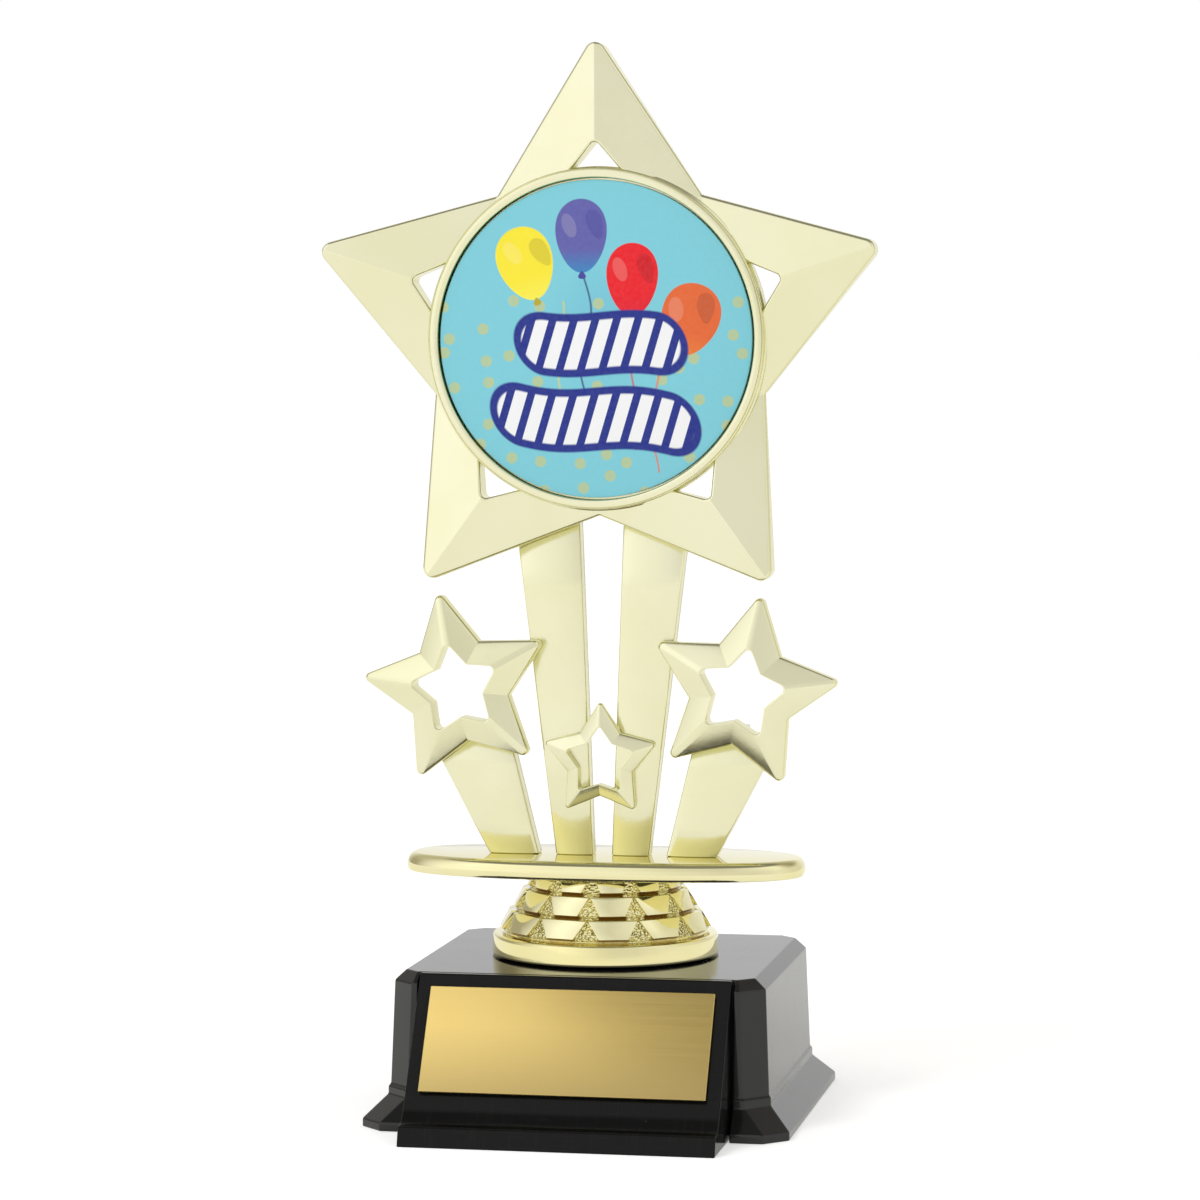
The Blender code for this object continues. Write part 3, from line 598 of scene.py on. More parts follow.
# %% Sizes of the large star
STAR_TIP, STAR_NOTCH, STAR_TIP_ROUNDING = 47.6 * MM, 27.8 * MM, 1.7 * MM
WINDOW_APEX, WINDOW_ROUNDING = 31.4 * MM, 0.9 * MM
STAR_FRONT = STAR_BACK + 5.1 * MM
ROOF_FALL = 3.6 * MM / (STAR_NOTCH * math.sin(math.pi / 5))
HIDDEN_RADIUS = INSERT_RADIUS + 1.1 * MM


def tip_half_angle(tip, notch):
    """Half the angle at the tip of a star with these two radii."""
    return math.atan2(notch * math.sin(math.pi / 5), tip - notch * math.cos(math.pi / 5))


half_angle = tip_half_angle(STAR_TIP, STAR_NOTCH)
print(f"each arm is {math.degrees(2 * half_angle):.1f} degrees wide at its tip")

# %% Half an arm as one flat face
def tip_arc(apex, rounding, steps):
    """Points round a rounded tip on the Y axis, from the axis to the right-hand side."""
    centre = apex - rounding / math.sin(half_angle)
    sweep = math.pi / 2 - half_angle
    turns = [sweep * step / steps for step in range(steps + 1)]
    return [(rounding * math.sin(turn), centre + rounding * math.cos(turn)) for turn in turns]


def half_arm_outline():
    """The half arm's corners: round the tip, down to the notch, in under the rim, and up the window."""
    outline = tip_arc(STAR_TIP, STAR_TIP_ROUNDING, 6)
    notch_turn = math.pi / 5
    outline.append((STAR_NOTCH * math.sin(notch_turn), STAR_NOTCH * math.cos(notch_turn)))
    window_turn = math.radians(10.4)
    for share in (0, 0.33, 0.67, 1):
        turn = notch_turn + (window_turn - notch_turn) * share
        outline.append((HIDDEN_RADIUS * math.sin(turn), HIDDEN_RADIUS * math.cos(turn)))
    outline += reversed(tip_arc(WINDOW_APEX, WINDOW_ROUNDING, 5))
    return outline


print(len(half_arm_outline()), "corners in half an arm")

# %% Mirror it, spin it and give it thickness
def make_star_body():
    bm = bmesh.new()
    weight = bm.edges.layers.float.new("bevel_weight_edge")
    flat_face(bm, [(x, y, STAR_FRONT - ROOF_FALL * x) for x, y in half_arm_outline()])
    bmesh.ops.mirror(bm, geom=bm.verts[:] + bm.edges[:] + bm.faces[:], axis="X", merge_dist=0.001 * MM)
    for edge in bm.edges:
        middle = (edge.verts[0].co + edge.verts[1].co) / 2
        if not edge.is_boundary:
            edge[weight] = 0.22
        elif abs(middle.x) < 4.6 * MM and middle.y < WINDOW_APEX:
            edge[weight] = 0.8
        elif middle.xy.length > STAR_NOTCH - 1 * MM:
            edge[weight] = 1.0
    repeat_round(bm, 5)
    bmesh.ops.remove_doubles(bm, verts=bm.verts, dist=0.002 * MM)
    for vert in extrude(bm, bm.faces[:]):
        vert.co.z = STAR_BACK
    return stand_up(bm, z=STAR_Z)


star_bm = make_star_body()
print(len(star_bm.faces), "faces in the star body before its edges are rounded")

# %% [markdown]
# The valleys between the arms have to stay crisp, but an edge that the bevel
# rounds must not be marked sharp, or the bevel would show facets. So sharp
# edges are marked by their angle, and then the bevelled ones are freed.

# %% Keep the valleys crisp and round the other edges
star_body = piece("large_star", star_bm, champagne, "champagne_gold_plating", "star_head", sharp=15)
weights = star_body.data.attributes["bevel_weight_edge"].data
for edge, weight in zip(star_body.data.edges, weights):
    edge.use_edge_sharp = edge.use_edge_sharp and weight.value == 0
soften(star_body, 0.55 * MM, segments=3)

# %% [markdown]
# ## The holder for the printed disc
#
# A round rim holds the printed disc. Across it there is a flat face, a fine
# groove, a bead and a lower flange where it meets the star. All of that is
# one turned profile, so it is spun as on a lathe.

# %% Turn the rim
RIM_CLEARANCE = 0.3 * MM
RIM_STEPS = [
    # mm out from the disc's clearance, mm down from the star's front
    (0, 0.45), (0.05, 0.2), (0.16, 0.06), (0.32, 0), (1.12, 0), (1.22, 0.05), (1.27, 0.2),
    (1.31, 0.21), (1.38, 0.12), (1.48, 0.16), (1.57, 0.3), (1.6, 0.6), (1.6, 1.5),
    (1.48, 1.6), (1.48, 1.85), (1.62, 1.95), (1.8, 2.1), (1.85, 2.4),
]


def make_holder():
    rim = INSERT_RADIUS + RIM_CLEARANCE
    floor = INSERT_BACK - 0.9 * MM
    profile = [(0, floor), (rim, floor)]
    profile += [(rim + out * MM, STAR_FRONT - down * MM) for out, down in RIM_STEPS]
    profile += [
        (rim + 1.85 * MM, STAR_BACK + 0.5 * MM), (rim + 1.6 * MM, STAR_BACK + 0.12 * MM),
        (rim + 1.4 * MM, STAR_BACK + 0.1 * MM), (0, STAR_BACK + 0.1 * MM),
    ]
    return stand_up(turned(profile, steps=192, closed=False), z=STAR_Z)


piece("insert_holder", make_holder(), champagne, "champagne_gold_plating", sharp=38)

# %% [markdown]
# ## The printed disc
#
# A glossy printed disc lies in the holder. The disc itself is a thin turned
# shape with a soft edge. The party print on it is worked out in its material
# from simple masks: ovals for the balloons, cells for the dots and long
# rounded bars for two striped ribbons. A picture file would be easier, but a
# pattern made of nodes stays sharp at any size. Its last blend darkens the
# whole print by a tenth.

# %% Turn the disc
def make_disc():
    face, back, edge = INSERT_FACE, INSERT_BACK, INSERT_RADIUS
    profile = [
        (0, back), (edge - 0.1 * MM, back), (edge, back + 0.1 * MM), (edge, face - 0.14 * MM),
        (edge - 0.05 * MM, face - 0.04 * MM), (edge - 0.16 * MM, face), (0, face),
    ]
    return stand_up(turned(profile, steps=160, closed=False), z=STAR_Z)


print("disc radius", round(INSERT_RADIUS * 1000, 2), "mm")

# %% Masks for the print
def make_oval_mask():
    """1 inside a turned egg shape, 0 outside. Sizes are shares of the disc's radius."""
    group, given, out = effect(
        "egg_mask",
        [("Vector", "Place", None), ("Float", "Across", 0.0), ("Float", "Up", 0.0), ("Float", "Width", 0.1),
         ("Float", "Height", 0.1), ("Float", "Turn", 0.0), ("Float", "Egg", 0.2)],
        [("Float", "Mask"), ("Float", "Share Up")],
    )
    split = axes(group, given["Place"])
    u = minus(group, split["X"], given["Across"])
    v = minus(group, split["Z"], given["Up"])
    cosine = sum_up(group, "COSINE", given["Turn"])
    sine = sum_up(group, "SINE", given["Turn"])
    along = plus(group, times(group, u, cosine), times(group, v, sine))
    up = minus(group, times(group, v, cosine), times(group, u, sine))
    up = sum_up(group, "DIVIDE", up, given["Height"])
    swell = plus(group, 1.0, times(group, up, given["Egg"]))
    along = sum_up(group, "DIVIDE", sum_up(group, "DIVIDE", along, given["Width"]), swell)
    reach = plus(group, times(group, along, along), times(group, up, up))
    wire(group, out["Mask"], spread(group, reach, 1.03, 0.97))
    wire(group, out["Share Up"], up)
    return group


egg_mask = make_oval_mask()
print("group", egg_mask.name)

# %% A ribbon mask: a rounded bar that waves
def make_ribbon_mask():
    group, given, out = effect(
        "ribbon_mask",
        [("Vector", "Place", None), ("Float", "Across", 0.0), ("Float", "Up", 0.0),
         ("Float", "Half Length", 0.5), ("Float", "Half Height", 0.15),
         ("Float", "Slope", 0.0), ("Float", "Wave", 0.03)],
        [("Float", "Distance")],
    )
    split = axes(group, given["Place"])
    u = minus(group, split["X"], given["Across"])
    wave = sum_up(group, "SINE", times(group, u, 5.2))
    bend = times(group, wave, given["Wave"])
    line = plus(group, times(group, u, given["Slope"]), bend)
    line = plus(group, line, given["Up"])
    v = minus(group, split["Z"], line)
    straight = minus(group, given["Half Length"], given["Half Height"])
    past = sum_up(group, "MAXIMUM", minus(group, sum_up(group, "ABSOLUTE", u), straight), 0.0)
    square = plus(group, times(group, past, past), times(group, v, v))
    away = minus(group, sum_up(group, "SQRT", square), given["Half Height"])
    wire(group, out["Distance"], away)
    return group


ribbon_mask = make_ribbon_mask()
print("group", ribbon_mask.name)

# %% Strings: thin wavy lines that hang from a balloon, as a mask
def make_string_mask():
    group, given, out = effect(
        "string_mask",
        [("Vector", "Place", None), ("Float", "Across", 0.0), ("Float", "Top", 0.0), ("Float", "Bottom", -0.5),
         ("Float", "Sway", 0.03)],
        [("Float", "Mask")],
    )
    split = axes(group, given["Place"])
    v = split["Z"]
    bend = sum_up(group, "SINE", times(group, v, 9.0))
    sway = times(group, bend, given["Sway"])
    centre = plus(group, given["Across"], sway)
    off = sum_up(group, "ABSOLUTE", minus(group, split["X"], centre))
    thin = spread(group, off, 0.009, 0.004)
    under = sum_up(group, "LESS_THAN", v, given["Top"])
    over = sum_up(group, "GREATER_THAN", v, given["Bottom"])
    wire(group, out["Mask"], times(group, thin, times(group, under, over)))
    return group


string_mask = make_string_mask()
print("group", string_mask.name)

# %% Confetti: round dots that stop short of the top, as a mask
def make_confetti_mask():
    group, given, out = effect("confetti_mask", [("Vector", "Place", None)], [("Float", "Mask")])
    split = axes(group, given["Place"])
    flat = group.nodes.new("ShaderNodeCombineXYZ")
    wire(group, flat.inputs["X"], split["X"])
    wire(group, flat.inputs["Y"], split["Z"])
    cells = cells_of(group, flat.outputs["Vector"], 5.0)
    cells.voronoi_dimensions = "2D"
    cells.inputs["Randomness"].default_value = 0.72
    dot = spread(group, cells.outputs["Distance"], 0.188, 0.172)
    place = axes(group, cells.outputs["Position"])
    low = sum_up(group, "LESS_THAN", place["Y"], 0.28)
    wire(group, out["Mask"], times(group, dot, low))
    return group


confetti_mask = make_confetti_mask()
print("group", confetti_mask.name)

# %% Put the print together
BALLOONS = [
    # across, up, width, height, turn, body, foot
    (-0.445, 0.475, 0.178, 0.235, 0.30, (1.0, 0.84, 0.035), (1.0, 0.89, 0.09)),
    (-0.088, 0.648, 0.163, 0.232, 0.02, (0.13, 0.125, 0.43), (0.04, 0.25, 0.56)),
    (0.238, 0.372, 0.163, 0.230, 0.0, (0.87, 0.010, 0.018), (0.80, 0.012, 0.03)),
    (0.605, 0.120, 0.185, 0.230, -0.28, (0.83, 0.15, 0.035), (0.87, 0.22, 0.03)),
]
SKY_BLUE, DEEP_BLUE = (0.225, 0.645, 0.755, 1), (0.11, 0.40, 0.66, 1)
KNOT_DROP, PRINT_DARKENING = 1.06, 0.1
NAVY, PAPER, DOT = (0.016, 0.030, 0.27, 1), (0.95, 0.96, 0.97, 1), (0.50, 0.62, 0.35, 1)


def egg_at(tree, spot, *numbers):
    """The egg mask, given its across, up, width, height, turn and egg."""
    labels = ("Across", "Up", "Width", "Height", "Turn", "Egg")
    return use(tree, egg_mask, Place=spot, **dict(zip(labels, numbers)))


def make_print():
    made, tree, shader, place = new_finish("party_print", 0.0, 0.3, Specular_IOR_Level=0.06)
    size = 1 / INSERT_RADIUS
    spot = stretched(tree, place, (size, size, size), location=(0, 0, -STAR_Z * size))
    haze = tree.nodes.new("ShaderNodeTexGradient")
    haze.gradient_type = "SPHERICAL"
    wire(tree, haze.inputs["Vector"], stretched(tree, spot, (2.1, 2.1, 1.75), location=(-0.06, 0, -0.1)))
    ground = blend_colours(tree, times(tree, haze.outputs["Fac"], 0.8), SKY_BLUE, DEEP_BLUE)
    dots = use(tree, confetti_mask, Place=spot)
    ground = blend_colours(tree, times(tree, dots, 0.95), ground, DOT)
    for across, top, bottom, sway, colour in (
        (-0.06, 0.42, -0.36, 0.035, (0.03, 0.06, 0.2, 1)),
        (-0.22, 0.24, -0.42, 0.02, (0.62, 0.66, 0.2, 1)),
        (0.26, 0.14, -0.7, 0.03, (0.62, 0.1, 0.12, 1)),
        (0.38, -0.1, -0.84, -0.03, (0.75, 0.22, 0.15, 1)),
    ):
        string = use(tree, string_mask, Place=spot, Across=across, Top=top, Bottom=bottom, Sway=sway)
        ground = blend_colours(tree, times(tree, string, 0.8), ground, colour)
    for across, up, width, height, turn, body, foot in BALLOONS:
        egg = egg_at(tree, spot, across, up, width, height, turn, 0.17)
        share = spread(tree, egg.node.outputs["Share Up"], -0.35, -1.0)
        tone = blend_colours(tree, share, (*body, 1), (*foot, 1))
        gleam = egg_at(
            tree, spot, across - width * 0.48, up + height * 0.28,
            width * 0.26, height * 0.34, turn + 0.35, 0.0,
        )
        tone = blend_colours(tree, times(tree, gleam, 0.1), tone, (1, 0.95, 0.85, 1))
        shade = egg_at(
            tree, spot, across + width * 0.55, up + height * 0.3,
            width * 0.3, height * 0.42, turn + 0.3, 0.3,
        )
        dark = (body[0] * 0.5, body[1] * 0.5, body[2] * 0.8, 1)
        tone = blend_colours(tree, times(tree, shade, 0.45), tone, dark)
        ground = blend_colours(tree, egg, ground, tone)
        drop = height * KNOT_DROP
        knot = egg_at(
            tree, spot, across + math.sin(turn) * drop, up - math.cos(turn) * drop,
            0.022, 0.025, turn, -0.6,
        )
        ground = blend_colours(tree, knot, ground, dark)
    split = axes(tree, spot)
    lean = minus(tree, split["X"], times(tree, split["Z"], 0.3))
    stripe = sum_up(tree, "SINE", times(tree, lean, 46.0))
    stripe = spread(tree, stripe, -0.42, -0.3)
    for across, up, half_length, half_height, slope in (
        (0.035, -0.03, 0.56, 0.2, -0.09), (0.0, -0.505, 0.68, 0.2, -0.1),
    ):
        away = use(
            tree, ribbon_mask, Place=spot, Across=across, Up=up, Half_Length=half_length,
            Half_Height=half_height, Slope=slope, Wave=0.035,
        )
        edge = spread(tree, away, 0.006, -0.006)
        inside = spread(tree, away, -0.044, -0.056)
        pattern = blend_colours(tree, times(tree, inside, stripe), NAVY, PAPER)
        ground = blend_colours(tree, edge, ground, pattern)
    paper = grain_of(tree, place, 1500.0, 3.0)
    tone = blend_colours(tree, times(tree, paper, 0.05), ground, (0.9, 0.95, 1.0, 1))
    tone = blend_colours(tree, PRINT_DARKENING, tone, (0, 0, 0, 1))
    wire(tree, shader.inputs["Base Color"], tone)
    smudge = use(tree, handling_smudges, Place=place, Size=80.0, Cover=0.4)
    wire(tree, shader.inputs["Roughness"], spread(tree, smudge, 0.0, 1.0, 0.28, 0.38))
    raise_surface(tree, shader, paper, 0.004 * MM)
    return made


party_print = make_print()
piece("printed_disc", make_disc(), party_print, "printed_sky_blue", "printed_insert", sharp=30)

# %% [markdown]
# ## The small stars
#
# Two tilted stars stand beside the rays and one stands between them. Each is
# a frame: an outer wall, facets that rise from it to the edge of a star
# window, and the window's own wall. A star outline shrinks evenly when it is
# scaled, since all its sides are equally far from its middle, so both edges
# can be rounded by a few loops that are scaled and lifted in small steps.

# %% A star outline that can be inset
def star_loop(tip, notch, rounding, inset, height):
    """A star's outline with round tips, moved in evenly from its sides."""
    spread_angle = tip_half_angle(tip, notch)
    scale = 1 - inset / (tip * math.sin(spread_angle))
    centre = tip - rounding / math.sin(spread_angle)
    sweep = math.pi / 2 - spread_angle
    points = []
    for arm in range(5):
        axis = math.pi / 2 + math.tau * arm / 5
        middle = Vector((math.cos(axis), math.sin(axis), 0)) * centre
        for step in range(-4, 5):
            angle = axis + sweep * step / 4
            points.append(middle + Vector((math.cos(angle), math.sin(angle), 0)) * rounding)
        corner = axis + math.pi / 5
        points.append(Vector((math.cos(corner), math.sin(corner), 0)) * notch)
    return [Vector((point.x * scale, point.y * scale, STAR_BACK + height)) for point in points]


print(len(star_loop(15.6 * MM, 8.4 * MM, 0.8 * MM, 0, 0)), "points in a star outline")

# %% Bridge the loops into a star frame
def make_star_frame(outer, window, edge, rim, soft):
    """Outer and window are (tip, notch, rounding). Edge and rim are heights over the back."""
    out_side = outer[0] * math.sin(tip_half_angle(*outer[:2]))
    in_side = window[0] * math.sin(tip_half_angle(*window[:2]))
    rise = (rim - edge) / (out_side - in_side)
    up_the_wall = [
        # inset, height
        (soft * 0.4, 0), (0, soft * 0.4), (0, edge - soft), (soft * 0.1, edge - soft * 0.4),
        (soft * 0.4, edge + soft * (0.4 * rise - 0.1)), (soft, edge + soft * rise),
    ]
    down_the_window = [
        (-soft, rim - soft * rise), (-soft * 0.45, rim - soft * (0.45 * rise + 0.06)),
        (-soft * 0.12, rim - soft * 0.4), (0, rim - soft), (0, soft * 0.4), (-soft * 0.4, 0),
    ]
    loops = [star_loop(*outer, *step) for step in up_the_wall]
    loops += [star_loop(*window, *step) for step in down_the_window]
    return skin(loops, closed=True)


side_star = ((16.0 * MM, 8.4 * MM, 0.8 * MM), (7.6 * MM, 4.4 * MM, 0.8 * MM), 2.6 * MM, 4.6 * MM, 0.45 * MM)
middle_star = ((9.6 * MM, 5.5 * MM, 0.45 * MM), (5.7 * MM, 3.5 * MM, 0.45 * MM), 1.4 * MM, 2.5 * MM, 0.28 * MM)
print("star frames: two side stars and one centre star")

# %% Place the three stars
SIDE_STAR_X, SIDE_STAR_TILT = 22.8 * MM, math.radians(11.5)
SIDE_STAR_Z = PLATE_TOP + 26.5 * MM
CENTRE_STAR_Z = PLATE_TOP + 15.2 * MM
for name, node, side in (("left_small_star", "left_star", -1), ("right_small_star", "right_star", 1)):
    bm = stand_up(make_star_frame(*side_star), side * SIDE_STAR_X, SIDE_STAR_Z, -side * SIDE_STAR_TILT)
    piece(name, bm, champagne, "champagne_gold_plating", node, sharp=13)
bm = stand_up(make_star_frame(*middle_star), 0, CENTRE_STAR_Z)
piece("centre_small_star", bm, champagne, "champagne_gold_plating", "centre_star", sharp=13)

# %% [markdown]
# ## The rays and the tails
#
# Two tall rays carry the large star and two short tails carry the side stars.
# Each is a slightly crowned bar that widens upwards. A tapered bar is two
# outlines joined, so it is a loft from its foot to its top, with one more
# loop just inside each end to round the end's edge.

# %% The outline across a bar
def bar_loop(inner, outer, side, height, shrink=0.0):
    """A crowned, soft-edged outline between two edges. It shrinks evenly near an end."""
    back, front, crown = 0.4 * MM - shrink, -2.88 * MM + shrink, 0.34 * MM
    inner, outer = inner + shrink, outer - shrink
    middle, half = (inner + outer) / 2, (outer - inner) / 2
    corner = 0.3 * MM
    points = [(half, back - corner), (half - corner * 0.3, back - corner * 0.3), (half - corner, back)]
    points += [(corner - half, back), (corner * 0.3 - half, back - corner * 0.3), (-half, back - corner)]
    points += [(-half, front + corner), (-half + corner * 0.12, front + corner * 0.45)]
    points += [(-half + corner * 0.45, front + corner * 0.1)]
    for step in range(-6, 7):
        share = step / 6
        points.append((share * (half - corner), front - crown * (1 - share * share) ** 0.8))
    points += [(half - corner * 0.45, front + corner * 0.1), (half - corner * 0.12, front + corner * 0.45)]
    points += [(half, front + corner)]
    return [Vector((side * (middle + x), y, height)) for x, y in points]


print(len(bar_loop(1 * MM, 5 * MM, 1, 0)), "points across a bar")

# %% Loft each bar from foot to top
def make_bar(foot, top, low, high, side):
    """Foot and top are (inner, outer) edges, low and high are heights."""
    loops = []
    for height, shrink in ((low, 0.2 * MM), (low + 0.2 * MM, 0)):
        loops.append(bar_loop(*foot, side, height, shrink))
    for share in (0.25, 0.5, 0.75):
        edges = [foot[i] + (top[i] - foot[i]) * share for i in (0, 1)]
        loops.append(bar_loop(*edges, side, low + (high - low) * share))
    for height, shrink in ((high - 0.2 * MM, 0), (high, 0.2 * MM)):
        loops.append(bar_loop(*top, side, height, shrink))
    return skin(loops)


def add_block(bm, low, high, soft):
    """Adds a soft-edged block between two corners, such as a tongue behind a star."""
    low, high = Vector(low), Vector(high)
    size = Matrix.Diagonal((*(high - low), 1))
    made = bmesh.ops.create_cube(bm, size=1, matrix=Matrix.Translation((low + high) / 2) @ size)
    round_edges(bm, made["verts"], soft)


RAY_TOP = STAR_Z - 25 * MM
TAIL_TOP = SIDE_STAR_Z - 7.4 * MM
for side, word in ((-1, "left"), (1, "right")):
    ray = make_bar((1.55 * MM, 7.5 * MM), (3.67 * MM, 14.4 * MM), PLATE_TOP - 0.02 * MM, RAY_TOP, side)
    piece(f"{word}_tall_ray", ray, champagne, "champagne_gold_plating", f"{word}_ray", sharp=50)
    tail_edges = (SIDE_STAR_X - 7.8 * MM, SIDE_STAR_X + 5.6 * MM)
    tail = make_bar((10.35 * MM, 18.35 * MM), tail_edges, PLATE_TOP - 0.02 * MM, TAIL_TOP, side)
    tongue = side * (SIDE_STAR_X - 6.9 * MM * math.sin(SIDE_STAR_TILT))
    add_block(
        tail,
        (tongue - 1.9 * MM, -3.2 * MM, TAIL_TOP - 1 * MM),
        (tongue + 1.9 * MM, 0.35 * MM, SIDE_STAR_Z - 5.4 * MM),
        0.3 * MM,
    )
    piece(f"{word}_short_tail", tail, champagne, "champagne_gold_plating", f"{word}_tail", sharp=50)

# %% [markdown]
# ## The oval plate
#
# The figure stands on an oval plate with a bull-nosed edge. Its outline is a
# superellipse, fuller at the corners than a plain ellipse, lofted through a
# quarter round. A round boss under it goes down into the riser.

# %% Loft the plate
def oval_loop(inset, height):
    half_length, half_depth = 32.1 * MM - inset, 12.5 * MM - inset
    points = []
    for step in range(144):
        angle = math.tau * step / 144
        x = math.copysign(abs(math.cos(angle)) ** 0.8, math.cos(angle))
        y = math.copysign(abs(math.sin(angle)) ** 0.8, math.sin(angle))
        points.append(Vector((half_length * x, half_depth * y, height)))
    return points


def make_plate():
    nose = 1.5 * MM
    loops = [oval_loop(0.7 * MM, PLATE_LOW), oval_loop(0.25 * MM, PLATE_LOW + 0.15 * MM)]
    loops += [oval_loop(0.03 * MM, PLATE_LOW + 0.6 * MM), oval_loop(0, PLATE_LOW + 1.1 * MM)]
    for step in range(1, 8):
        turn = math.pi / 2 * step / 7
        inset = nose * (1 - math.cos(turn))
        loops.append(oval_loop(inset, PLATE_TOP - (PLATE_TOP - PLATE_LOW - 1.1 * MM) * (1 - math.sin(turn))))
    bm = skin(loops)
    boss = Matrix.Translation((0, 0, PLATE_LOW - 2 * MM))
    bmesh.ops.create_cone(
        bm, cap_ends=True, segments=48, radius1=6.3 * MM, radius2=6.5 * MM, depth=4.2 * MM, matrix=boss
    )
    return bm


piece("standing_plate", make_plate(), bright_gold, "champagne_gold_plating", "oval_plate", sharp=30)

# %% [markdown]
# ## The riser
#
# Under the plate is a short cone in mirror gold: a smooth band and shoulder,
# then rows of raised trapezoids with sparkling stippled triangles between
# them. There are three rows, but the plate cuts the top one off, so only about
# two and two thirds show. The body is turned, and one trapezoid per row is
# made and spun round twelve times.

# %% Sizes of the riser
RISER_LOW, RISER_HIGH = riser_low.z, riser_high.z
RISER_COLUMNS, RISER_ROWS, ROWS_SHOWN = 12, 3, 2.62
SHOULDER_Z, SHOULDER_RADIUS, TOP_RADIUS = RISER_LOW + 3.5 * MM, 17.4 * MM, 11.6 * MM
ROW_HEIGHT = (RISER_HIGH - SHOULDER_Z) / ROWS_SHOWN
ROW_STEP = 0.45 * MM
ROW_RUN = (SHOULDER_RADIUS - TOP_RADIUS - ROW_STEP * RISER_ROWS) / ROWS_SHOWN
print(f"rows are {ROW_HEIGHT * 1000:.2f} mm high and lean in by {ROW_RUN * 1000:.2f} mm")

# %% The turned body
def row_edges(row):
    """(lower radius, upper radius, lower height) of one row of the cone."""
    low_radius = SHOULDER_RADIUS - ROW_STEP * (row + 1) - ROW_RUN * row
    return low_radius, low_radius - ROW_RUN, SHOULDER_Z + ROW_HEIGHT * row


def make_riser_body():
    foot = 18.1 * MM
    profile = [(6.8 * MM, RISER_LOW + 0.1 * MM), (foot - 0.25 * MM, RISER_LOW)]
    profile += [(foot - 0.07 * MM, RISER_LOW + 0.07 * MM), (foot, RISER_LOW + 0.25 * MM)]
    profile += [(foot - 0.01 * MM, RISER_LOW + 0.4 * MM), (foot - 0.13 * MM, RISER_LOW + 2.65 * MM)]
    for step in range(1, 7):
        turn = math.pi / 2 * step / 6
        profile.append((
            SHOULDER_RADIUS - 0.05 * MM + 0.6 * MM * math.cos(turn),
            RISER_LOW + 2.85 * MM + 0.5 * MM * math.sin(turn),
        ))
    for row in range(RISER_ROWS):
        low_radius, high_radius, low = row_edges(row)
        profile += [(low_radius - 0.5 * MM, low), (low_radius - 0.7 * MM, low + 0.22 * MM)]
        share = min(1.0, (RISER_HIGH - low) / ROW_HEIGHT)
        top_radius = low_radius + (high_radius - low_radius) * share
        profile += [(low_radius - 0.45 * MM, low + 0.5 * MM), (top_radius - 0.3 * MM, low + ROW_HEIGHT * share)]
    profile.append((6.8 * MM, RISER_HIGH))
    return turned(profile, steps=144)


print("body profile spun in 144 steps")

# %% [markdown]
# The stippled triangles need a rough, glittering finish, and the rest of the
# riser is polished. The two golds are close, but the turned body has a finish
# of its own, whose stipple starts above the shoulder. Under each trapezoid
# there is a strip of painted shade: a mask by height and by direction round
# the axis deepens the gold there and keeps the stipple away.

# %% Stippled gold for the body
def make_stippled():
    made, tree, shader, place = new_finish("stippled_gold", 1.0, 0.12, Coat_Weight=0.1)
    tint = use(
        tree, plating_tint, Place=place, Drift_Scale=60.0,
        Pale=(0.86, 0.80, 0.46, 1), Deep=(0.82, 0.74, 0.36, 1),
    )
    cells = cells_of(tree, place, 2300.0)
    split = axes(tree, place)
    above = spread(tree, split["Z"], SHOULDER_Z + 0.15 * MM, SHOULDER_Z + 0.3 * MM)
    rise = sum_up(tree, "DIVIDE", minus(tree, split["Z"], SHOULDER_Z), ROW_HEIGHT)
    # painted shade: a dark strip low in each row, under the trapezoids
    painted_groove_shade = times(tree, spread(tree, sum_up(tree, "FRACT", rise), 0.24, 0.18), above)
    turn = sum_up(tree, "ARCTAN2", split["Y"], split["X"])
    column = sum_up(tree, "FRACT", times(tree, turn, RISER_COLUMNS / math.tau))
    off_middle = sum_up(tree, "ABSOLUTE", minus(tree, column, 0.5))
    painted_groove_shade = times(tree, painted_groove_shade, spread(tree, off_middle, 0.34, 0.27))
    stipple = times(tree, above, minus(tree, 1.0, painted_groove_shade))
    # the painted groove shade is a deep brown gold
    wire(tree, shader.inputs["Base Color"], blend_colours(tree, painted_groove_shade, tint, (0.27, 0.17, 0.04, 1)))
    height = times(tree, cells.outputs["Distance"], stipple)
    raise_surface(tree, shader, height, 0.4 * MM)
    wire(tree, shader.inputs["Roughness"], spread(tree, above, 0.0, 1.0, 0.07, 0.16))
    return made


stippled_gold = make_stippled()
piece("riser_body", make_riser_body(), stippled_gold, "bright_gold_plating", "riser", sharp=28)

# %% The raised trapezoids
def make_row_cell(bm, row):
    """One trapezoid, wide at its top, standing out from the cone."""
    low_radius, high_radius, low = row_edges(row)
    column = math.pi / RISER_COLUMNS
    out_high = high_radius - 0.18 * MM
    out_low = low_radius - 0.2 * MM
    foot, top = low + 0.62 * MM, low + ROW_HEIGHT + 0.02 * MM
    half_high = out_high * math.tan(column) * 0.97
    half_low = out_low * math.tan(column) * 0.52
    share = min(1.0, (RISER_HIGH - 0.05 * MM - foot) / (top - foot))
    top = foot + (top - foot) * share
    half_high = half_low + (half_high - half_low) * share
    out_high = out_low + (out_high - out_low) * share
    outer = [(-half_low, -out_low, foot), (half_low, -out_low, foot)]
    outer += [(half_high, -out_high, top), (-half_high, -out_high, top)]
    face = flat_face(bm, outer)
    corners = list(face[0].verts)
    pushed = extrude(bm, face)
    bmesh.ops.translate(bm, verts=pushed, vec=(0, 1.3 * MM, 0))
    round_edges(bm, corners + pushed, 0.13 * MM)


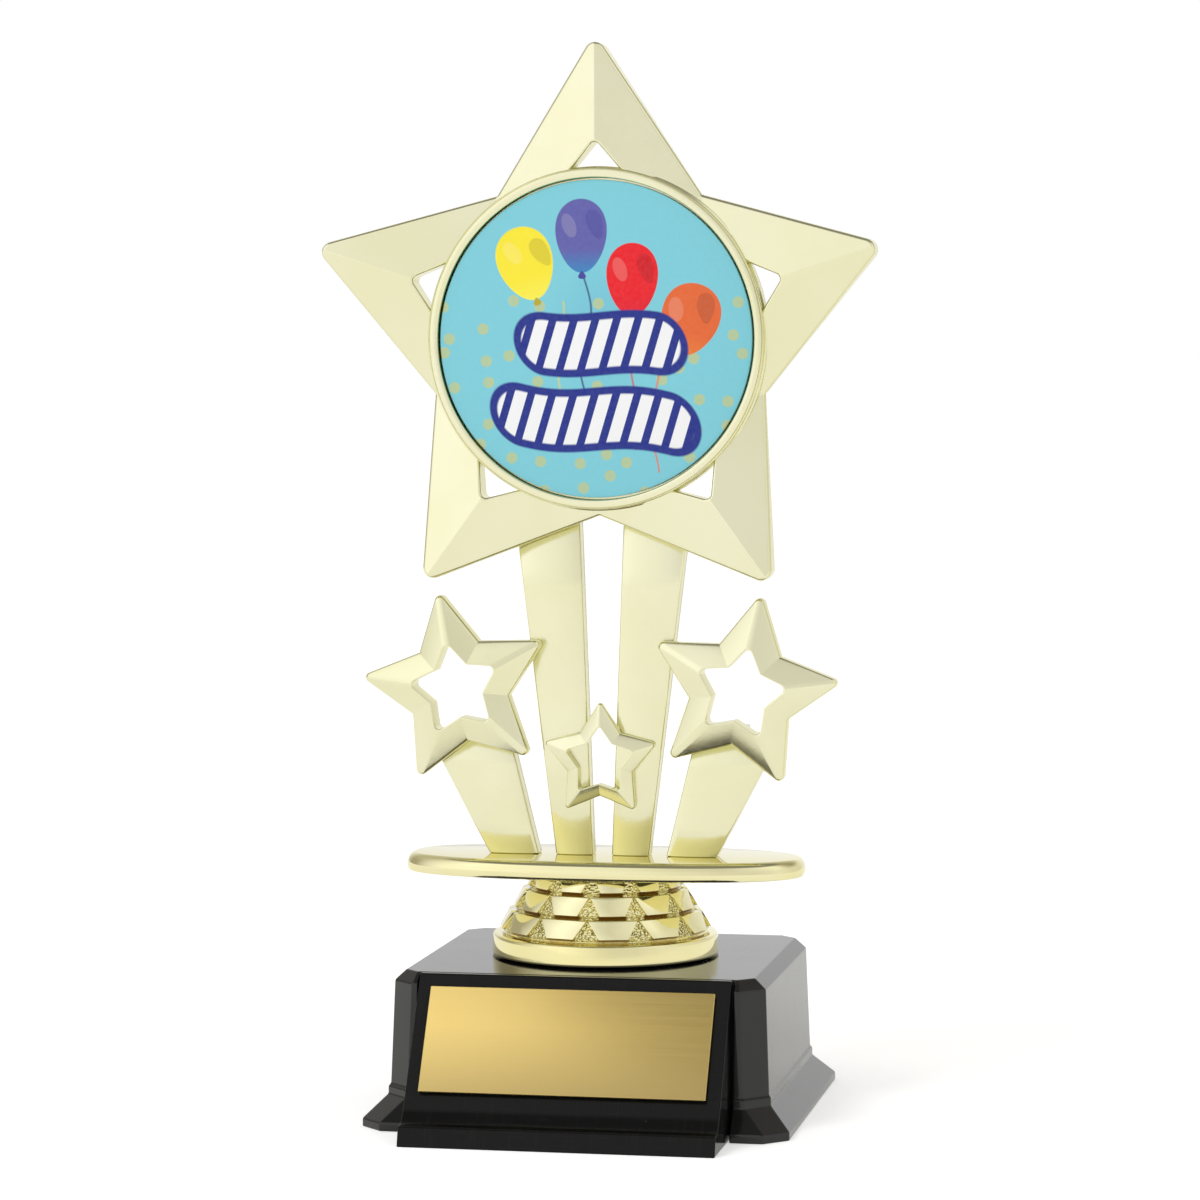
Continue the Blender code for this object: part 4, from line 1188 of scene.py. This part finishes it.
def make_riser_cells():
    bm = bmesh.new()
    for row in range(RISER_ROWS):
        make_row_cell(bm, row)
    bmesh.ops.rotate(
        bm, verts=bm.verts, cent=(0, 0, 0), matrix=Matrix.Rotation(math.pi / RISER_COLUMNS, 3, "Z")
    )
    repeat_round(bm, RISER_COLUMNS)
    return bm


piece("riser_facets", make_riser_cells(), bright_gold, "bright_gold_plating", sharp=30)

# %% [markdown]
# ## The black base
#
# The base is a hollow moulding with eight sides, a sloping ledge and a flared
# foot. Its solid is already right, so a copy of it is cleaned into large flat
# faces, and a bevel gives each edge the small radius that catches the light.
# A mirror-like top shows every uneven normal, so the last modifier lets the
# large faces decide the normals.

# %% A clean copy of a measured solid
def copy_of(node):
    """A bmesh of a measured solid, with its loose triangles merged into flat faces."""
    bm = bmesh.new()
    bm.from_mesh(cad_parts[node].data)
    bmesh.ops.remove_doubles(bm, verts=bm.verts, dist=0.005 * MM)
    bmesh.ops.dissolve_limit(
        bm, angle_limit=math.radians(0.6), verts=bm.verts, edges=bm.edges, use_dissolve_boundaries=False
    )
    return bm


base = piece("black_base", copy_of("base_shell"), gloss_black, "gloss_black_plastic", "base_shell", sharp=None)
soften(base, 0.22 * MM, segments=2, angle=14)
level = base.modifiers.new("level_faces", "WEIGHTED_NORMAL")
level.weight, level.keep_sharp = 100, True

# %% [markdown]
# ## The sloped front panel
#
# A separate wedge fits the front of the base. Its side outline has a slope
# for the plaque, a hollow cove and a low rounded lip. Such a shape is the
# same all the way across, so its outline is one face that is extruded.

# %% The panel's side outline
PANEL_LEAN = math.radians(32.1)
PANEL_BACK, PANEL_HALF, PANEL_LAND = -24.5 * MM, 24.4 * MM, 1.1 * MM


def panel_side():
    """(y, z) corners from the back's foot forwards, over the lip, up the cove and the slope."""
    land = PANEL_BACK - PANEL_LAND
    high = panel_high.z
    outline = [(PANEL_BACK, 0), (panel_low.y, 0)]
    lip = Vector((panel_low.y + 0.75 * MM, 3.1 * MM - 0.5 * MM))
    for step in range(0, 6):
        turn = math.radians(100) * step / 5 - math.radians(12)
        outline.append((lip.x + 0.55 * MM - 0.55 * MM * math.cos(turn), lip.y + 0.5 * MM * math.sin(turn)))
    start = Vector((panel_low.y + 1.9 * MM, 3.08 * MM))
    bend_at = Vector((land - math.tan(PANEL_LEAN) * (high - 3.15 * MM), 3.15 * MM))
    end = Vector((land - math.tan(PANEL_LEAN) * (high - 5.3 * MM), 5.3 * MM))
    for step in range(0, 9):
        share = step / 8
        point = start * (1 - share) ** 2 + bend_at * 2 * share * (1 - share) + end * share ** 2
        outline.append((point.x, point.y))
    outline += [(land, high), (PANEL_BACK, high)]
    return outline


print(len(panel_side()), "corners in the panel's outline")

# %% Extrude the panel and hollow its foot
def make_panel():
    bm = bmesh.new()
    side = flat_face(bm, [(-PANEL_HALF, y, z) for y, z in panel_side()])
    bmesh.ops.translate(bm, verts=extrude(bm, side), vec=(2 * PANEL_HALF, 0, 0))
    bmesh.ops.recalc_face_normals(bm, faces=bm.faces)
    foot = [face for face in bm.faces if face.calc_center_median().z < 0.1 * MM and abs(face.normal.z) > 0.9]
    bmesh.ops.inset_region(bm, faces=foot, thickness=1.8 * MM)
    raised = extrude(bm, foot)
    bmesh.ops.delete(bm, geom=foot, context="FACES_ONLY")
    bmesh.ops.translate(bm, verts=raised, vec=(0, 0, 1.4 * MM))
    return bm


front_wedge = piece("front_wedge", make_panel(), wedge_black, "gloss_black_plastic", "front_panel", sharp=None)
soften(front_wedge, 0.22 * MM, segments=2, angle=28)

# %% [markdown]
# ## The plaque
#
# A blank plaque of thin gilt sheet lies on the slope. Its solid is a plain
# sheet, so it is copied and its edges are broken by a tenth of a millimetre.

# %% The plaque
plaque = piece("blank_plaque", copy_of("plaque"), satin_gold, "satin_gold_plaque", "plaque", sharp=None)
soften(plaque, 0.1 * MM, segments=2, angle=30)

# %% [markdown]
# ## Fasteners, tapes and pad
#
# These are the measured solids themselves, in their own finishes.

# %% Finish the hidden solids
HIDDEN = {
    "ballast_weight": zinc_steel,
    "washer": zinc_steel,
    "hex_nut": zinc_steel,
    "captive_nut": zinc_steel,
    "threaded_rod": zinc_steel,
    "plaque_tape": foam,
    "insert_tape": foam,
    "underside_pad": felt,
}
for node, finish in HIDDEN.items():
    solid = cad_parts[node]
    for place in solid.material_slots:
        place.material = finish
    print(node, "in", finish.name)

# %% [markdown]
# ## Floor, light and camera
#
# Polished metal shows its surroundings more than its own colour, so the
# studio matters as much as the finish. The world is a plain pale tent with
# brighter and darker stretches, and dark overhead. The camera itself sees
# only even white. The floor gives more light to the camera than it gives to
# reflections, and the lamp lights the surfaces without showing in them.

# %% The floor
def make_floor():
    bm = bmesh.new()
    bmesh.ops.create_circle(bm, cap_ends=True, segments=96, radius=9.0)
    mesh = bpy.data.meshes.new("studio_floor")
    bm.to_mesh(mesh)
    bm.free()
    made, tree, shader, place = new_finish(
        "pale_floor", 0.0, 0.85, Specular_IOR_Level=0.1, Emission_Strength=0.45
    )
    mottle = grain_of(tree, place, 18.0, 3.0)
    pale = blend_colours(tree, mottle, (0.9, 0.9, 0.9, 1), (0.93, 0.93, 0.93, 1))
    wire(tree, shader.inputs["Base Color"], pale)
    seen = tree.nodes.new("ShaderNodeLightPath").outputs["Is Camera Ray"]
    wire(tree, shader.inputs["Emission Color"], blend_colours(tree, seen, (0.68, 0.68, 0.64, 1), (1, 1, 1, 1)))
    mesh.materials.append(made)
    floor = bpy.data.objects.new("studio_floor", mesh)
    bpy.context.scene.collection.objects.link(floor)
    return floor


floor = make_floor()
print("floor", len(floor.data.polygons), "face")

# %% The tent round the trophy
AROUND = [
    # degrees round from the front, towards +X, and the brightness near the horizon there
    (-180, 1.02), (-150, 0.85), (-122, 0.45), (-100, 0.46), (-78, 0.85), (-56, 1.16),
    (-36, 1.22), (-24, 1.16), (-11, 1.06), (4, 0.92), (20, 0.82), (42, 0.82),
    (70, 0.94), (100, 0.86), (140, 0.80), (180, 1.02),
]
ABOVE = [
    # the same, half way up
    (-180, 0.70), (-125, 0.55), (-98, 0.62), (-70, 0.95), (-44, 1.30), (-22, 1.10),
    (2, 0.84), (20, 0.76), (44, 0.90), (78, 1.10), (108, 0.55), (128, 0.35),
    (150, 0.50), (180, 0.70),
]


def level_ramp(tree, turn, levels):
    """A ramp of brightness by the direction round, held at half so that it can pass 1."""
    ramp = tree.nodes.new("ShaderNodeValToRGB")
    stops = ramp.color_ramp.elements
    for degrees, level in levels[1:-1]:
        stops.new((degrees + 180) / 360)
    for stop, (degrees, level) in zip(stops, levels):
        stop.position = (degrees + 180) / 360
        fade = 1 - 0.22 * max(0.0, 0.85 - level)
        stop.color = (level / 2, level / 2 * (0.3 + 0.7 * fade), level / 2 * fade ** 2, 1)
    wire(tree, ramp.inputs["Fac"], spread(tree, turn, -math.pi, math.pi))
    return ramp.outputs["Color"]


def make_tent():
    world = bpy.data.worlds.new("studio_tent")
    bpy.context.scene.world = world
    world.use_nodes = True
    tree = world.node_tree
    shade = tree.nodes["Background"]
    split = axes(tree, tree.nodes.new("ShaderNodeTexCoord").outputs["Object"])
    turn = sum_up(tree, "ARCTAN2", split["X"], times(tree, split["Y"], -1.0))
    low, high = level_ramp(tree, turn, AROUND), level_ramp(tree, turn, ABOVE)
    height = split["Z"]
    sides = blend_colours(tree, spread(tree, height, 0.3, 0.62, smooth=True), low, high)
    tent = blend_colours(tree, spread(tree, height, 0.8, 0.88, smooth=True), sides, (0.13, 0.13, 0.125, 1))
    doubled = tree.nodes.new("ShaderNodeVectorMath")
    doubled.operation = "SCALE"
    doubled.inputs["Scale"].default_value = 2.0
    wire(tree, doubled.inputs[0], tent)
    seen = tree.nodes.new("ShaderNodeLightPath").outputs["Is Camera Ray"]
    colour = blend_colours(tree, seen, doubled.outputs["Vector"], (1.0, 1.0, 1.0, 1))
    wire(tree, shade.inputs["Color"], colour)
    return world


studio = make_tent()
print("world", studio.name)

# %% One soft lamp, high on the left
def add_lamp(name, place, aim, size, power):
    light = bpy.data.lights.new(name, "AREA")
    light.shape = "DISK"
    light.size = size
    light.energy = power
    lamp = bpy.data.objects.new(name, light)
    lamp.location = place
    lamp.rotation_mode = "QUATERNION"
    lamp.rotation_quaternion = (Vector(aim) - Vector(place)).to_track_quat("-Z", "Y")
    lamp.visible_glossy = False
    bpy.context.scene.collection.objects.link(lamp)
    print(name, "size", size, "m, power", power, "W")


add_lamp("key_lamp", (-1.5, -2.2, 3.2), (0, 0, 0.08), 1.2, 30.0)

# %% The camera
def make_camera():
    lens = bpy.data.cameras.new("camera")
    lens.lens = 123.36
    lens.sensor_width = 36.0
    lens.clip_start = 0.05
    lens.clip_end = 60.0
    camera = bpy.data.objects.new("camera", lens)
    target = Vector((-0.81, 0.0, 80.58)) * MM
    camera.location = Vector((121.39, -640.94, 121.76)) * MM
    camera.rotation_mode = "QUATERNION"
    look = (target - camera.location).to_track_quat("-Z", "Y")
    roll = Matrix.Rotation(math.radians(-0.12), 3, "Z").to_quaternion()
    camera.rotation_quaternion = look @ roll
    bpy.context.scene.collection.objects.link(camera)
    bpy.context.scene.camera = camera
    return camera


camera = make_camera()
bpy.context.scene.view_settings.view_transform = "Standard"
print("camera at", [round(value * 1000) for value in camera.location], "mm")

# %% [markdown]
# ## Bring the scene up to date

# %% Update the view layer
bpy.context.view_layer.update()
